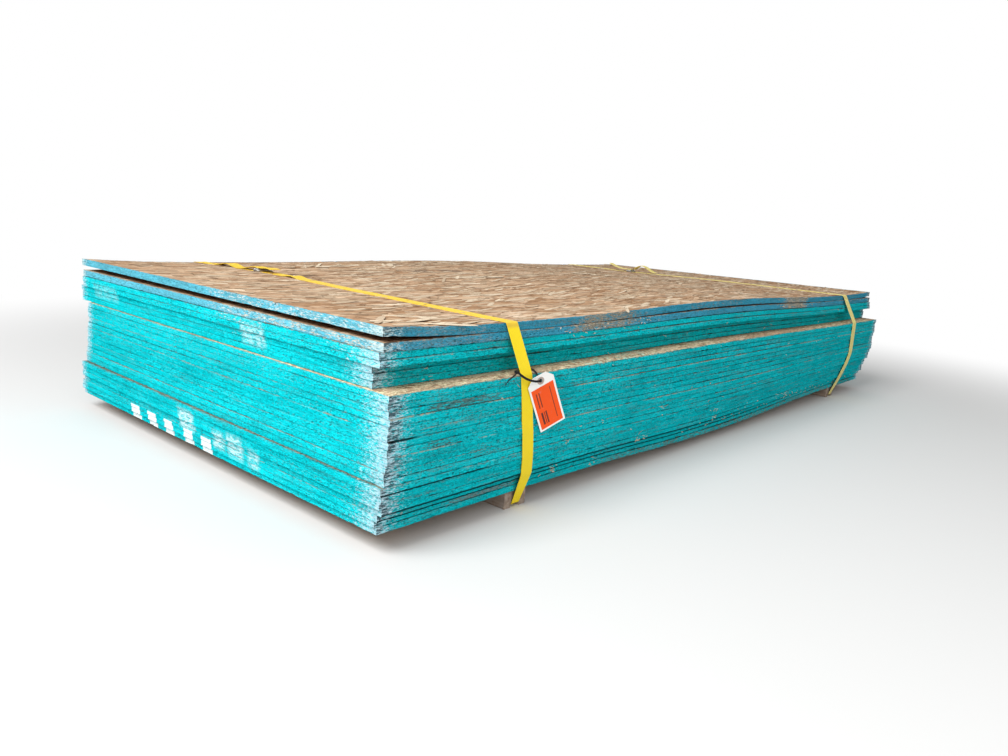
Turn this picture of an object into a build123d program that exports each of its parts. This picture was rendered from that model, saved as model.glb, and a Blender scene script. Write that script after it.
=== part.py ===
from build123d import *
import os
from collections import namedtuple
from math import atan, cos, pi, sin

# A strapped stack of oriented strand board on two grooved runners.
# While it is built, X = 0 and Y = 0 are the corner of a sheet with no shift, X runs along
# the sheets, Y across them and Z up from the floor. At the end the origin moves to the
# middle of the footprint, at floor level.

# Sheets
sheet_length = 2438.0
sheet_width = 1219.0
sheet_thickness = 12.7
top_sheet_thickness = 15.9      # the two highest sheets, with blue edges
bottom_bow = -17.0      # how far the lowest sheet sags between the runners
top_bow = 11.0          # how far the highest sheet stands up between the straps
flat_enough = 0.01      # a lesser rise is drawn straight
bow_clearance = 8.0     # level stretch past a runner before the bow starts
crest_x = sheet_length / 2       # where the bow is deepest or highest

# Sheets that were squared up together, from the bottom up. A shift is where the lowest and
# the highest sheet of the group lie along X and Y, a twist is their turn about Z in
# thousandths of a radian, and a gap is what lies under each sheet at the two straps.
SheetGroup = namedtuple(
    "SheetGroup", "count thickness low_shift high_shift low_twist high_twist near_gap far_gap")
sheet_groups = [
    SheetGroup(3, sheet_thickness, (-3.0, 27.0), (-9.0, 21.0), 5.5, 6.5, 0.12, 0.1),
    SheetGroup(4, sheet_thickness, (-11.0, 15.0), (-16.0, 4.0), 6.5, 5.0, 0.12, 0.1),
    SheetGroup(5, sheet_thickness, (-5.0, 2.0), (-4.0, -4.0), 1.5, 0.0, 0.12, 0.1),
    SheetGroup(7, sheet_thickness, (-1.5, -2.0), (1.3, -2.5), 0.5, -2.4, 0.12, 0.1),
    SheetGroup(3, sheet_thickness, (7.6, 51.0), (7.0, 53.0), -1.2, -1.2, 0.3, 0.15),
    SheetGroup(2, sheet_thickness, (3.0, 28.5), (3.0, 29.5), -0.9, -0.9, 0.3, 0.15),
    SheetGroup(2, top_sheet_thickness, (5.5, 31.0), (4.5, 33.5), 2.8, 3.2, 0.3, 0.15),
]

# Sheets that lie a little apart from their group: how much further along X and Y
sheet_nudges = {2: (-1.5, 5.0), 4: (3.0, -3.5), 6: (1.5, -1.0), 9: (-1.2, 1.2), 11: (1.0, -1.5),
                14: (-1.0, 1.0), 16: (1.5, -1.2), 18: (-0.8, 1.5), 21: (1.0, -1.0), 24: (-1.0, 1.0)}

# The highest sheet has sprung off the one below it
spring_arch = 2.5       # how much further it stands up between the straps
back_spring = 4.0       # how far its back edge stands clear over the near runner
near_lifts = (10.3, 8.0)        # how far its near end lifts at the front and the back corner
far_lifts = (5.5, 2.0)          # the same at its far end
near_lift_length = 280.0        # how far along the sheet the lifts die out
far_lift_length = 240.0

# Runners of sawn softwood, each with a strap groove along its underside
runner_height = 38.0
runner_width = 64.0
runner_inset = 6.0      # from the lowest sheet's long edge to the runner's end
groove_width = 27.0
groove_depth = 8.0
runner_edge_radius = 2.0
near_runner_x = 364.0   # from the sheets' near end to the middle of the runner
far_runner_inset = 278.0        # the same at their far end
far_runner_x = sheet_length - far_runner_inset

# Woven straps
strap_width = 32.0
strap_thickness = 1.0
bunched_width = 22.0    # where the strap is pulled into the groove
bunched_thickness = 1.45
seat = 0.3              # between a strap and what it lies on

# Each strap's line, as how far it lies along X from its runner's middle: down the front
# (height above the floor, X) and over the top (share of the sheet's width, X). A tail is
# the strap's free end past its prong, and slack is where its run bulges off the highest
# sheet: both are pairs of the distance from the buckle's middle and the height of the
# strap's middle line.
StrapRoute = namedtuple(
    "StrapRoute", "runner_x front top buckle_share front_tail back_tail front_slack back_slack")
near_route = StrapRoute(
    near_runner_x,
    [(376.0, -46.0), (340.0, -39.0), (283.0, -28.0), (185.0, -19.0), (50.0, 7.0), (0.0, 0.0)],
    [(0.0, -46.0), (0.25, -32.0), (0.5, -19.0), (0.66, 0.0), (0.79, -2.0), (0.92, -22.0), (1.0, -42.0)],
    0.775,
    [(18.0, 11.0), (30.0, 12.5), (46.0, 13.0), (62.0, 11.0)],
    [(18.0, 11.5), (30.0, 11.0), (44.0, 7.5), (60.0, 4.5), (88.0, 2.5)],
    [(122.0, 0.0), (140.0, 2.6), (158.0, 4.0), (176.0, 2.6), (194.0, 0.0)],
    [(96.0, 0.0), (112.0, 3.0), (128.0, 7.5), (142.0, 8.5), (156.0, 6.5), (174.0, 2.4), (196.0, 0.0)])
far_route = StrapRoute(
    far_runner_x,
    [(376.0, -3.0), (340.0, 6.0), (283.0, 22.0), (185.0, 30.0), (50.0, 16.0), (0.0, 0.0)],
    [(0.0, -3.0), (0.25, 10.0), (0.45, 6.0), (0.6, -34.0), (0.68, -62.0), (0.76, -74.0), (1.0, -50.0)],
    0.72,
    [(18.0, 13.5), (28.0, 21.0), (40.0, 28.0), (52.0, 31.0), (66.0, 27.0), (82.0, 17.0), (98.0, 8.0),
     (112.0, 5.5)],
    [(18.0, 11.0), (34.0, 11.5), (52.0, 13.5), (70.0, 17.5), (88.0, 23.0), (104.0, 28.0)],
    [],
    [])

# Wire buckles
buckle_wire = 5.0       # wire diameter
buckle_across = 48.0    # over the wire, across the strap
buckle_along = 29.0     # over the wire, along the strap
buckle_corner = 6.0     # corner radius on the wire's axis
buckle_prong_pitch = 10.0
buckle_prong_rise = 3.5     # how far the prongs stand above the frame
buckle_prong_bend = 4.0     # radius of their bends on the wire's axis

# Shipping tag
tag_length = 120.6
tag_width = 60.3
tag_clip = 15.0
tag_thickness = 0.5
tag_hole = 8.0
tag_hole_inset = 13.0
eyelet_width = 4.0      # ring round the hole
eyelet_thickness = 0.4
tag_corner = (330.5, -6.5, 269.0)   # upper left corner before it is clipped
tag_slope = 25.9        # turn in the tag's own plane, degrees
tag_swing = 16.0        # how far its right edge stands away from the stack, degrees
tag_lean = 6.1          # how far its lower edge stands away, degrees

# Cable tie that holds the tag to the near strap
tie_width = 4.6
tie_thickness = 1.2
tie_head_size = (7.0, 8.0, 5.5)
tie_route = [           # from the head in front of the strap, through the hole, back behind the strap
    (300.0, -10.5, 292.0), (308.0, -12.0, 285.5), (318.0, -13.5, 279.5), (331.0, -15.5, 274.0),
    (346.0, -19.0, 271.0), (357.5, -21.0, 271.5), (361.5, -19.5, 270.5), (363.5, -15.5, 270.6),
    (364.5, -9.5, 273.5), (362.5, -4.5, 282.5), (357.0, 0.5, 289.6), (350.0, 4.5, 290.2),
    (316.5, 4.5, 291.0), (308.5, 2.2, 291.6), (301.0, -3.0, 292.0)]
tie_tail = [(299.5, -8.0, 290.0), (289.0, -10.5, 286.5), (280.0, -10.5, 282.5), (272.0, -10.0, 277.0),
            (268.5, -9.0, 270.5)]

Sheet = namedtuple("Sheet", "thickness near_z far_z bow shift_x shift_y twist")

# Height and form of a sheet's underside along one of its long edges
Profile = namedtuple("Profile", "thickness near_z far_z bow near_lift far_lift")


def blend(low, high, share):
    """Value part of the way from low to high."""
    return low + (high - low) * share


def along(table, at):
    """Value at a place in a list of (place, value) pairs, straight between them."""
    pairs = sorted(table)
    if at <= pairs[0][0]:
        return pairs[0][1]
    for (a, low), (b, high) in zip(pairs, pairs[1:]):
        if at <= b:
            return blend(low, high, (at - a) / (b - a))
    return pairs[-1][1]


def lay_out_sheets():
    """Height, bow, shift and twist of every sheet, from the bottom up."""
    total = sum(group.count for group in sheet_groups)
    sheets = []
    near_z = far_z = runner_height
    for group in sheet_groups:
        for place in range(group.count):
            share = place / max(group.count - 1, 1)
            if sheets:
                near_z += sheets[-1].thickness + group.near_gap
                far_z += sheets[-1].thickness + group.far_gap
            nudge = sheet_nudges.get(len(sheets) + 1, (0, 0))
            sheets.append(Sheet(
                group.thickness, near_z, far_z,
                blend(bottom_bow, top_bow, len(sheets) / (total - 1)),
                blend(group.low_shift[0], group.high_shift[0], share) + nudge[0],
                blend(group.low_shift[1], group.high_shift[1], share) + nudge[1],
                blend(group.low_twist, group.high_twist, share) / 1000))
    return sheets


def ease(start, end):
    """Two equal arcs that leave one point level and reach the other level."""
    if abs(end[1] - start[1]) < flat_enough:
        return [Line(start, end)]
    middle = ((start[0] + end[0]) / 2, (start[1] + end[1]) / 2)
    return [TangentArc(start, middle, tangent=(1, 0)),
            TangentArc(end, middle, tangent=(-1, 0))]


def lifted_end(level, end_x, lift, length):
    """A sheet's end, from the bow to its edge: level, then curved up where it lifts."""
    x, z = level
    if lift < flat_enough:
        return [Line(level, (end_x, z))]
    heading = 1 if end_x > x else -1
    lift_start = (end_x - heading * length, z)
    return [Line(level, lift_start), TangentArc(lift_start, (end_x, z + lift), tangent=(heading, 0))]


def sheet_edge(profile, rise):
    """Lower or upper edge of a sheet's long section, a rise above its underside."""
    near_level = (near_runner_x + runner_width / 2 + bow_clearance, profile.near_z + rise)
    far_level = (far_runner_x - runner_width / 2 - bow_clearance, profile.far_z + rise)
    crest = (crest_x, (near_level[1] + far_level[1]) / 2 + profile.bow)
    return (lifted_end(near_level, 0, profile.near_lift, near_lift_length)
            + ease(near_level, crest) + ease(crest, far_level)
            + lifted_end(far_level, sheet_length, profile.far_lift, far_lift_length))


def sheet_outline(profile):
    """A sheet's long section."""
    corners = (0, profile.near_z + profile.near_lift), (sheet_length, profile.far_z + profile.far_lift)
    ends = [Line((x, low), (x, low + profile.thickness)) for x, low in corners]
    return make_face(sheet_edge(profile, 0) + sheet_edge(profile, profile.thickness) + ends)


def make_sheet(sheet, sprung):
    """One sheet in its place. A sprung one is warped: its two long edges differ."""
    if sprung:
        bow = sheet.bow + spring_arch
        edges = [Profile(sheet.thickness, sheet.near_z + clear, sheet.far_z, bow - clear / 2, near, far)
                 for clear, near, far in zip((0, back_spring), near_lifts, far_lifts)]
        front, back = [Pos(0, y, 0) * (Plane.XZ * sheet_outline(edge))
                       for y, edge in zip((0, sheet_width), edges)]
        board = loft([front, back], ruled=True)
    else:
        edge = Profile(sheet.thickness, sheet.near_z, sheet.far_z, sheet.bow, 0, 0)
        board = extrude(Plane.XZ * sheet_outline(edge), amount=-sheet_width)
    middle = Pos(sheet_length / 2, sheet_width / 2, 0)
    turn = Rot(0, 0, sheet.twist * 180 / pi)
    place = Pos(sheet.shift_x, sheet.shift_y, 0) * middle * turn
    return place * Pos(-sheet_length / 2, -sheet_width / 2, 0) * board


def front_edge(sheet, x):
    """Y of a sheet's front edge at a place along the stack."""
    return sheet.shift_y + sheet.twist * (x - sheet_length / 2)


def make_runner(x, lowest):
    """Runner across the stack under its sheets, with rounded arrises and the strap groove."""
    start = front_edge(lowest, x) + runner_inset
    length = sheet_width - 2 * runner_inset
    section = Pos(0, runner_height / 2) * RectangleRounded(runner_width, runner_height, runner_edge_radius)
    section -= Pos(0, groove_depth / 2) * Rectangle(groove_width, groove_depth)
    return Pos(x, start, 0) * extrude(Plane.XZ * section, amount=-length)


def outline_hull(points):
    """Corners of the tightest outline round a set of points, clockwise in Y and Z."""
    points = sorted(set(points))

    def half(run):
        chain = []
        for point in run:
            while len(chain) > 1:
                (ay, az), (by, bz) = chain[-2:]
                if (by - ay) * (point[1] - az) - (bz - az) * (point[0] - ay) > 1e-6:
                    break
                chain.pop()
            chain.append(point)
        return chain

    return (half(points)[:-1] + half(points[::-1])[:-1])[::-1]


def strap_outline(sheets, route):
    """Outline in Y and Z that a tight strap follows round the sheets and under the runner."""
    x = route.runner_x
    near = x == near_runner_x
    corners = []
    for sheet in sheets:
        level = sheet.near_z if near else sheet.far_z
        front = front_edge(sheet, x)
        clear = back_spring if near and sheet == sheets[-1] else 0
        for y, low in ((front, level), (front + sheet_width, level + clear)):
            corners += [(y, low), (y, low + sheet.thickness)]
    start = front_edge(sheets[0], x) + runner_inset
    corners += [(start, groove_depth), (start + sheet_width - 2 * runner_inset, groove_depth)]
    return outline_hull(corners)


def band(stations):
    """Flat band through stations, each a middle point, a vector across its width and a thickness."""
    points = [Vector(*station[0]) for station in stations]
    sections = []
    runs = [(end - start).normalized() for start, end in zip(points, points[1:])]
    for point, arriving, leaving, station in zip(points, runs[:1] + runs, runs + runs[-1:], stations):
        across, thickness = Vector(*station[1]), station[2]
        heading = (arriving + leaving).normalized()
        outward = heading.cross(across).normalized() * (thickness / 2 / heading.dot(leaving))
        corners = [point - across / 2 - outward, point + across / 2 - outward,
                   point + across / 2 + outward, point - across / 2 + outward]
        sections.append(make_face(Polyline(*corners, close=True)))
    return Part() + [loft([start, end], ruled=True) for start, end in zip(sections, sections[1:])]


def offset_corner(before, corner, after, distance):
    """Point that lies a distance outside both sides of a corner of a clockwise outline."""
    def normal(start, end):
        run = Vector(end[0] - start[0], end[1] - start[1])
        return Vector(-run.Y, run.X).normalized()

    first, second = normal(before, corner), normal(corner, after)
    mitre = (first + second).normalized()
    reach = distance / mitre.dot(first)
    return corner[0] + mitre.X * reach, corner[1] + mitre.Y * reach


def strap_top(ring):
    """Front and back end of the strap's run over the highest sheet."""
    middle = sum(y for y, z in ring) / len(ring)
    front = max((point for point in ring if point[0] < middle), key=lambda point: point[1])
    back = max((point for point in ring if point[0] > middle), key=lambda point: point[1])
    return front, back


def strap_lean(front, back, route):
    """Slope of the strap's line at the buckle: how far it runs along X for each step in Y."""
    step = 0.01
    drift = along(route.top, route.buckle_share + step) - along(route.top, route.buckle_share - step)
    return drift / (2 * step * (back[0] - front[0]))


def frame_height():
    """Height of the buckle frame's wire above the highest sheet: it lies on the strap's run."""
    return seat + strap_thickness + seat + buckle_wire / 2


def hooked_end(tail, side):
    """A strap end round its prong, from the tip of the tail to where it lies on the sheet.

    Side is 1 at the back of the buckle and -1 at the front. The points are the distance from
    the buckle's middle towards the back, and the height of the strap's middle line.
    """
    prong, prong_height = buckle_prong_pitch / 2, frame_height() + buckle_prong_rise
    reach = buckle_wire / 2 + seat + strap_thickness / 2
    corner = reach / cos(pi / 8)
    points = list(reversed(tail))
    for turn in (3, 1, -1, -3):
        angle = turn * pi / 8
        points.append((prong - corner * cos(angle), prong_height + corner * sin(angle)))
    points.append((prong + buckle_wire * 0.3, prong_height - reach))
    points.append(((buckle_along - buckle_wire) / 2 - buckle_wire * 0.4, seat + strap_thickness / 2))
    return [(side * along_y, height) for along_y, height in points]


def make_strap(ring, route):
    """One band, hooked at both ends: from the buckle down the back, under, up the front, to the buckle."""
    front, back = strap_top(ring)
    turn = ring.index(back)
    ring = ring[turn:] + ring[:turn]
    lowest = min(z for y, z in ring)
    buckle_y = blend(front[0], back[0], route.buckle_share)
    laid = seat + strap_thickness / 2
    turned = atan(strap_lean(front, back, route))
    stations = []

    def add_top(y, height, turned=0):
        """Add a station of the run over the top, its middle line at a height above the sheet."""
        share = (y - front[0]) / (back[0] - front[0])
        x = route.runner_x + along(route.top, share)
        place = x, y, blend(front[1], back[1], share) + height
        stations.append((place, (strap_width * cos(turned), -strap_width * sin(turned), 0), strap_thickness))

    for reach, height in hooked_end(route.back_tail, 1):
        add_top(buckle_y + reach, height, turned)
    for reach, height in route.back_slack:
        add_top(buckle_y + reach, laid + height)
    for before, corner, after in zip(ring[-1:] + ring[:-1], ring, ring[1:] + ring[:1]):
        y, z = corner
        width, thickness = strap_width, strap_thickness
        if z == lowest:
            drift, width, thickness = 0, bunched_width, bunched_thickness
        elif y < (front[0] + back[0]) / 2:
            drift = along(route.front, z)
        else:
            drift = along(route.top, 1.0) * (z - lowest) / (back[1] - lowest)
        middle = offset_corner(before, corner, after, seat + thickness / 2)
        stations.append(((route.runner_x + drift, *middle), (width, 0, 0), thickness))
    for share in (0.15, 0.3, 0.45):
        add_top(blend(front[0], back[0], share), laid)
    for reach, height in reversed(route.front_slack):
        add_top(buckle_y - reach, laid + height)
    for reach, height in reversed(hooked_end(route.front_tail, -1)):
        add_top(buckle_y + reach, height, turned)
    return band(stations)


def round_wire(path):
    """Round wire along a path."""
    return sweep(Plane(origin=path @ 0, z_dir=path % 0) * Circle(buckle_wire / 2), path=path)


def make_buckle(ring, route):
    """Wire buckle: a closed frame on the strap and two prongs bent up from it, which hold the ends."""
    front, back = strap_top(ring)
    share = route.buckle_share
    half_across, half_along = (buckle_across - buckle_wire) / 2, (buckle_along - buckle_wire) / 2
    buckle = round_wire(RectangleRounded(2 * half_across, 2 * half_along, buckle_corner).wire())
    shoulder = strap_width / 2 + buckle_wire / 2 + seat
    for side in (-1, 1):
        y = side * buckle_prong_pitch / 2
        bends = (-shoulder, y, buckle_prong_rise), (shoulder, y, buckle_prong_rise)
        path = FilletPolyline((-half_across, y, 0), *bends, (half_across, y, 0), radius=buckle_prong_bend)
        buckle += round_wire(path)
    place = Pos(route.runner_x + along(route.top, share), blend(front[0], back[0], share),
                blend(front[1], back[1], share) + frame_height())
    return place * Rot(0, 0, -atan(strap_lean(front, back, route)) * 180 / pi) * buckle


def tag_place():
    """Where the tag's upper left corner is and how the tag is turned."""
    facing = Plane(origin=(0, 0, 0), x_dir=(1, 0, 0), z_dir=(0, -1, 0)).location
    return Pos(*tag_corner) * Rot(0, 0, -tag_swing) * Rot(tag_lean, 0, 0) * facing * Rot(0, 0, tag_slope)


def make_tag():
    """Card tag with two clipped corners, hanging from the hole near its upper edge."""
    outline = Polyline((0, -tag_clip), (tag_clip, 0), (tag_width - tag_clip, 0), (tag_width, -tag_clip),
                       (tag_width, -tag_length), (0, -tag_length), close=True)
    card = make_face(outline) - Pos(tag_width / 2, -tag_hole_inset) * Circle(tag_hole / 2)
    return tag_place() * extrude(card, amount=tag_thickness)


def make_eyelet():
    """Patch ring that strengthens the tag's hole on its front."""
    ring = Circle(tag_hole / 2 + eyelet_width) - Circle(tag_hole / 2)
    place = tag_place() * Pos(tag_width / 2, -tag_hole_inset, tag_thickness)
    return place * extrude(ring, amount=eyelet_thickness)


def make_tie():
    """Cable tie: a flat loop through the tag and round the strap, its head and its free tail."""
    across = Vector(0.3, 0, 0.95).normalized() * tie_width
    loop = band([(point, across, tie_thickness) for point in tie_route])
    tail = band([(point, (tie_width * 0.8, 0, -tie_width * 0.6), tie_thickness) for point in tie_tail])
    head = Pos(*[(a + b) / 2 for a, b in zip(tie_route[0], tie_route[-1])]) * Box(*tie_head_size)
    return head + loop + tail


sheets = lay_out_sheets()
pieces = {}
for number, sheet in enumerate(sheets, start=1):
    pieces[f"panel_{number:02d}"] = make_sheet(sheet, sprung=number == len(sheets))
for side, route in (("near", near_route), ("far", far_route)):
    ring = strap_outline(sheets, route)
    pieces[f"runner_{side}"] = make_runner(route.runner_x, sheets[0])
    pieces[f"strap_{side}"] = make_strap(ring, route)
    pieces[f"buckle_{side}"] = make_buckle(ring, route)
pieces["tag_card"] = make_tag()
pieces["tag_eyelet"] = make_eyelet()
pieces["cable_tie"] = make_tie()

os.makedirs("parts", exist_ok=True)
boxes = [piece.bounding_box() for piece in pieces.values()]
to_origin = Pos(-(min(box.min.X for box in boxes) + max(box.max.X for box in boxes)) / 2,
                -(min(box.min.Y for box in boxes) + max(box.max.Y for box in boxes)) / 2,
                -min(box.min.Z for box in boxes))
for name, piece in pieces.items():
    export_step(to_origin * piece, f"parts/{name}.step")
print("origin moved by", to_origin.position)
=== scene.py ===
import logging
import math
import random
from contextlib import contextmanager
from dataclasses import dataclass
from enum import Enum
from functools import reduce
from typing import Callable, Iterator, Optional, Sequence, Union

import bmesh
import bpy
import numpy as np
from mathutils import Matrix, Vector
from mathutils.bvhtree import BVHTree


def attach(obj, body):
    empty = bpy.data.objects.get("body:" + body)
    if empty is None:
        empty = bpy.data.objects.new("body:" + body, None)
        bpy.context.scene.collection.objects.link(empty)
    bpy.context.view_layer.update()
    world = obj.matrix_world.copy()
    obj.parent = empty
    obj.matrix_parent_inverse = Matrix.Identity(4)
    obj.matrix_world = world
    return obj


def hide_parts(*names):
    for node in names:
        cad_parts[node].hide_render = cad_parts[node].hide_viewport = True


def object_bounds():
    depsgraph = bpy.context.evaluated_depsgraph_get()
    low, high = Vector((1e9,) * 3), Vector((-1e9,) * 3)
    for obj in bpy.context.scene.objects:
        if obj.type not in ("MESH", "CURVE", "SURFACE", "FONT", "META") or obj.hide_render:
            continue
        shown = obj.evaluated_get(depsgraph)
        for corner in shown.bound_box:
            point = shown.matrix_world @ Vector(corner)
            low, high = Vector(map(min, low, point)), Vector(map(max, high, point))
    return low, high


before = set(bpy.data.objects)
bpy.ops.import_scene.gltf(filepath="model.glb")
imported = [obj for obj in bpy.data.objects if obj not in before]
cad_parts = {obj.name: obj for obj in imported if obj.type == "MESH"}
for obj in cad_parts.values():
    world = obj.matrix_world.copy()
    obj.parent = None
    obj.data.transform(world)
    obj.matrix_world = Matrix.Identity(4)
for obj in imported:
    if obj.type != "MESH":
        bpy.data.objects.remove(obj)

log = logging.getLogger("stack")

# Sizes are in metres. Places along the sheets that the solids were drawn with are in
# millimetres from the corner of a sheet with no shift, and place() moves them to the frame.
MM = 0.001
SHEETS_CORNER = Vector((-1.214, -0.623134, 0.0))
SHEET_LENGTH, SHEET_WIDTH = 2.438, 1.219
NEAR_RUNNER_X, FAR_RUNNER_X = 364.0, 2160.0
BOARD = "board"     # attribute: a point's place in its own sheet, from the near front lower corner
TRAITS = "traits"   # attribute: a sheet's tint, how porous its edge is and how bare its upper arris
NUMBER = "number"   # attribute: which sheet it is, from 1 at the bottom
TONE = "tone"       # attribute: a loose strand's own shade
BODY = "root"
TEAL_SLOT, BLUE_SLOT = "board_teal_edge", "board_blue_edge"

Piece, Material, Socket = bpy.types.Object, bpy.types.Material, bpy.types.NodeSocket
Colour = tuple[float, float, float]
Value = Union[float, Sequence[float], Socket]
cad_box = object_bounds()


def place(x: float, y: float, z: float) -> Vector:
    """Place in the frame of a point in millimetres from the sheets' corner."""
    return Vector((x * MM, y * MM, z * MM)) + SHEETS_CORNER


class Element(Enum):
    """What is picked in edit mode."""

    EDGE = "EDGE"
    FACE = "FACE"


class Axis(Enum):
    """The three axes, as places in a vector."""

    X = 0
    Y = 1
    Z = 2


# Modelling


def deselect() -> None:
    """Select nothing."""
    for other in bpy.context.selected_objects:
        other.select_set(False)


def pick_only(piece: Piece) -> None:
    """Select one piece and nothing else, and make it the active one."""
    deselect()
    piece.select_set(True)
    bpy.context.view_layer.objects.active = piece


def bake_place(piece: Piece) -> None:
    """Move a piece's place, turn and size into its mesh."""
    pick_only(piece)
    bpy.ops.object.transform_apply(location=True, rotation=True, scale=True)


@contextmanager
def editing(piece: Piece, element: Element) -> Iterator[None]:
    """Hold a piece in edit mode.

    Args:
        piece: the mesh to edit.
        element: what the operators pick.
    """
    pick_only(piece)
    bpy.ops.object.mode_set(mode="EDIT")
    bpy.ops.mesh.select_mode(type=element.value)
    bpy.ops.mesh.select_all(action="DESELECT")
    yield
    bpy.ops.object.mode_set(mode="OBJECT")


def pick_edges(piece: Piece, wanted: Callable[[Vector, Vector], bool]) -> None:
    """Select the edges of a piece in edit mode whose two ends pass a test.

    Args:
        piece: the mesh in edit mode.
        wanted: takes both ends of an edge and says whether it is picked.
    """
    mesh = bmesh.from_edit_mesh(piece.data)
    for edge in mesh.edges:
        edge.select_set(wanted(edge.verts[0].co, edge.verts[1].co))
    bmesh.update_edit_mesh(piece.data)


def runs_along(axis: Axis) -> Callable[[Vector, Vector], bool]:
    """A test for edges that run along an axis."""
    def test(start: Vector, end: Vector) -> bool:
        """Whether an edge runs along it."""
        run = end - start
        return abs(run[axis.value]) > 0.9 * run.length
    return test


def add_box(name: str, centre: Sequence[float], size: Sequence[float]) -> Piece:
    """Add a box at its place and size, with both in its mesh.

    Args:
        name: the piece's name.
        centre: its middle.
        size: its three sides.

    Returns:
        The new piece.
    """
    deselect()
    bpy.ops.mesh.primitive_cube_add(size=1, location=centre, scale=size)
    piece = bpy.context.object
    piece.name = name
    bake_place(piece)
    return piece


def apply_modifier(piece: Piece, kind: str, **settings: object) -> None:
    """Add a modifier to a piece and apply it.

    Args:
        piece: the mesh.
        kind: the modifier's type.
        settings: its properties.
    """
    pick_only(piece)
    modifier = piece.modifiers.new(kind.lower(), kind)
    for key, value in settings.items():
        setattr(modifier, key, value)
    bpy.ops.object.modifier_apply(modifier=modifier.name)


def smooth(piece: Piece, degrees: float) -> None:
    """Shade a piece smooth, apart from its sharper edges."""
    pick_only(piece)
    bpy.ops.object.shade_smooth_by_angle(angle=math.radians(degrees))


def finish_piece(piece: Piece, finish: Material, nodes: Sequence[str] = ()) -> None:
    """Give a new piece its finish, its body and the nodes that it stands for.

    Args:
        piece: the finished mesh.
        finish: its material.
        nodes: the solids that it replaces.
    """
    piece.data.materials.clear()
    piece.data.materials.append(finish)
    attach(piece, BODY)
    if nodes:
        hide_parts(*nodes)
    log.info("%s: %d faces", piece.name, len(piece.data.polygons))


def dress_node(node: str, finish: Material) -> None:
    """Give a solid that stays its finish."""
    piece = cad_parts[node]
    if not piece.material_slots:
        piece.data.materials.append(finish)
    for slot in piece.material_slots:
        slot.material = finish
    log.info("%s: dressed", node)


# Node trees


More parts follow.
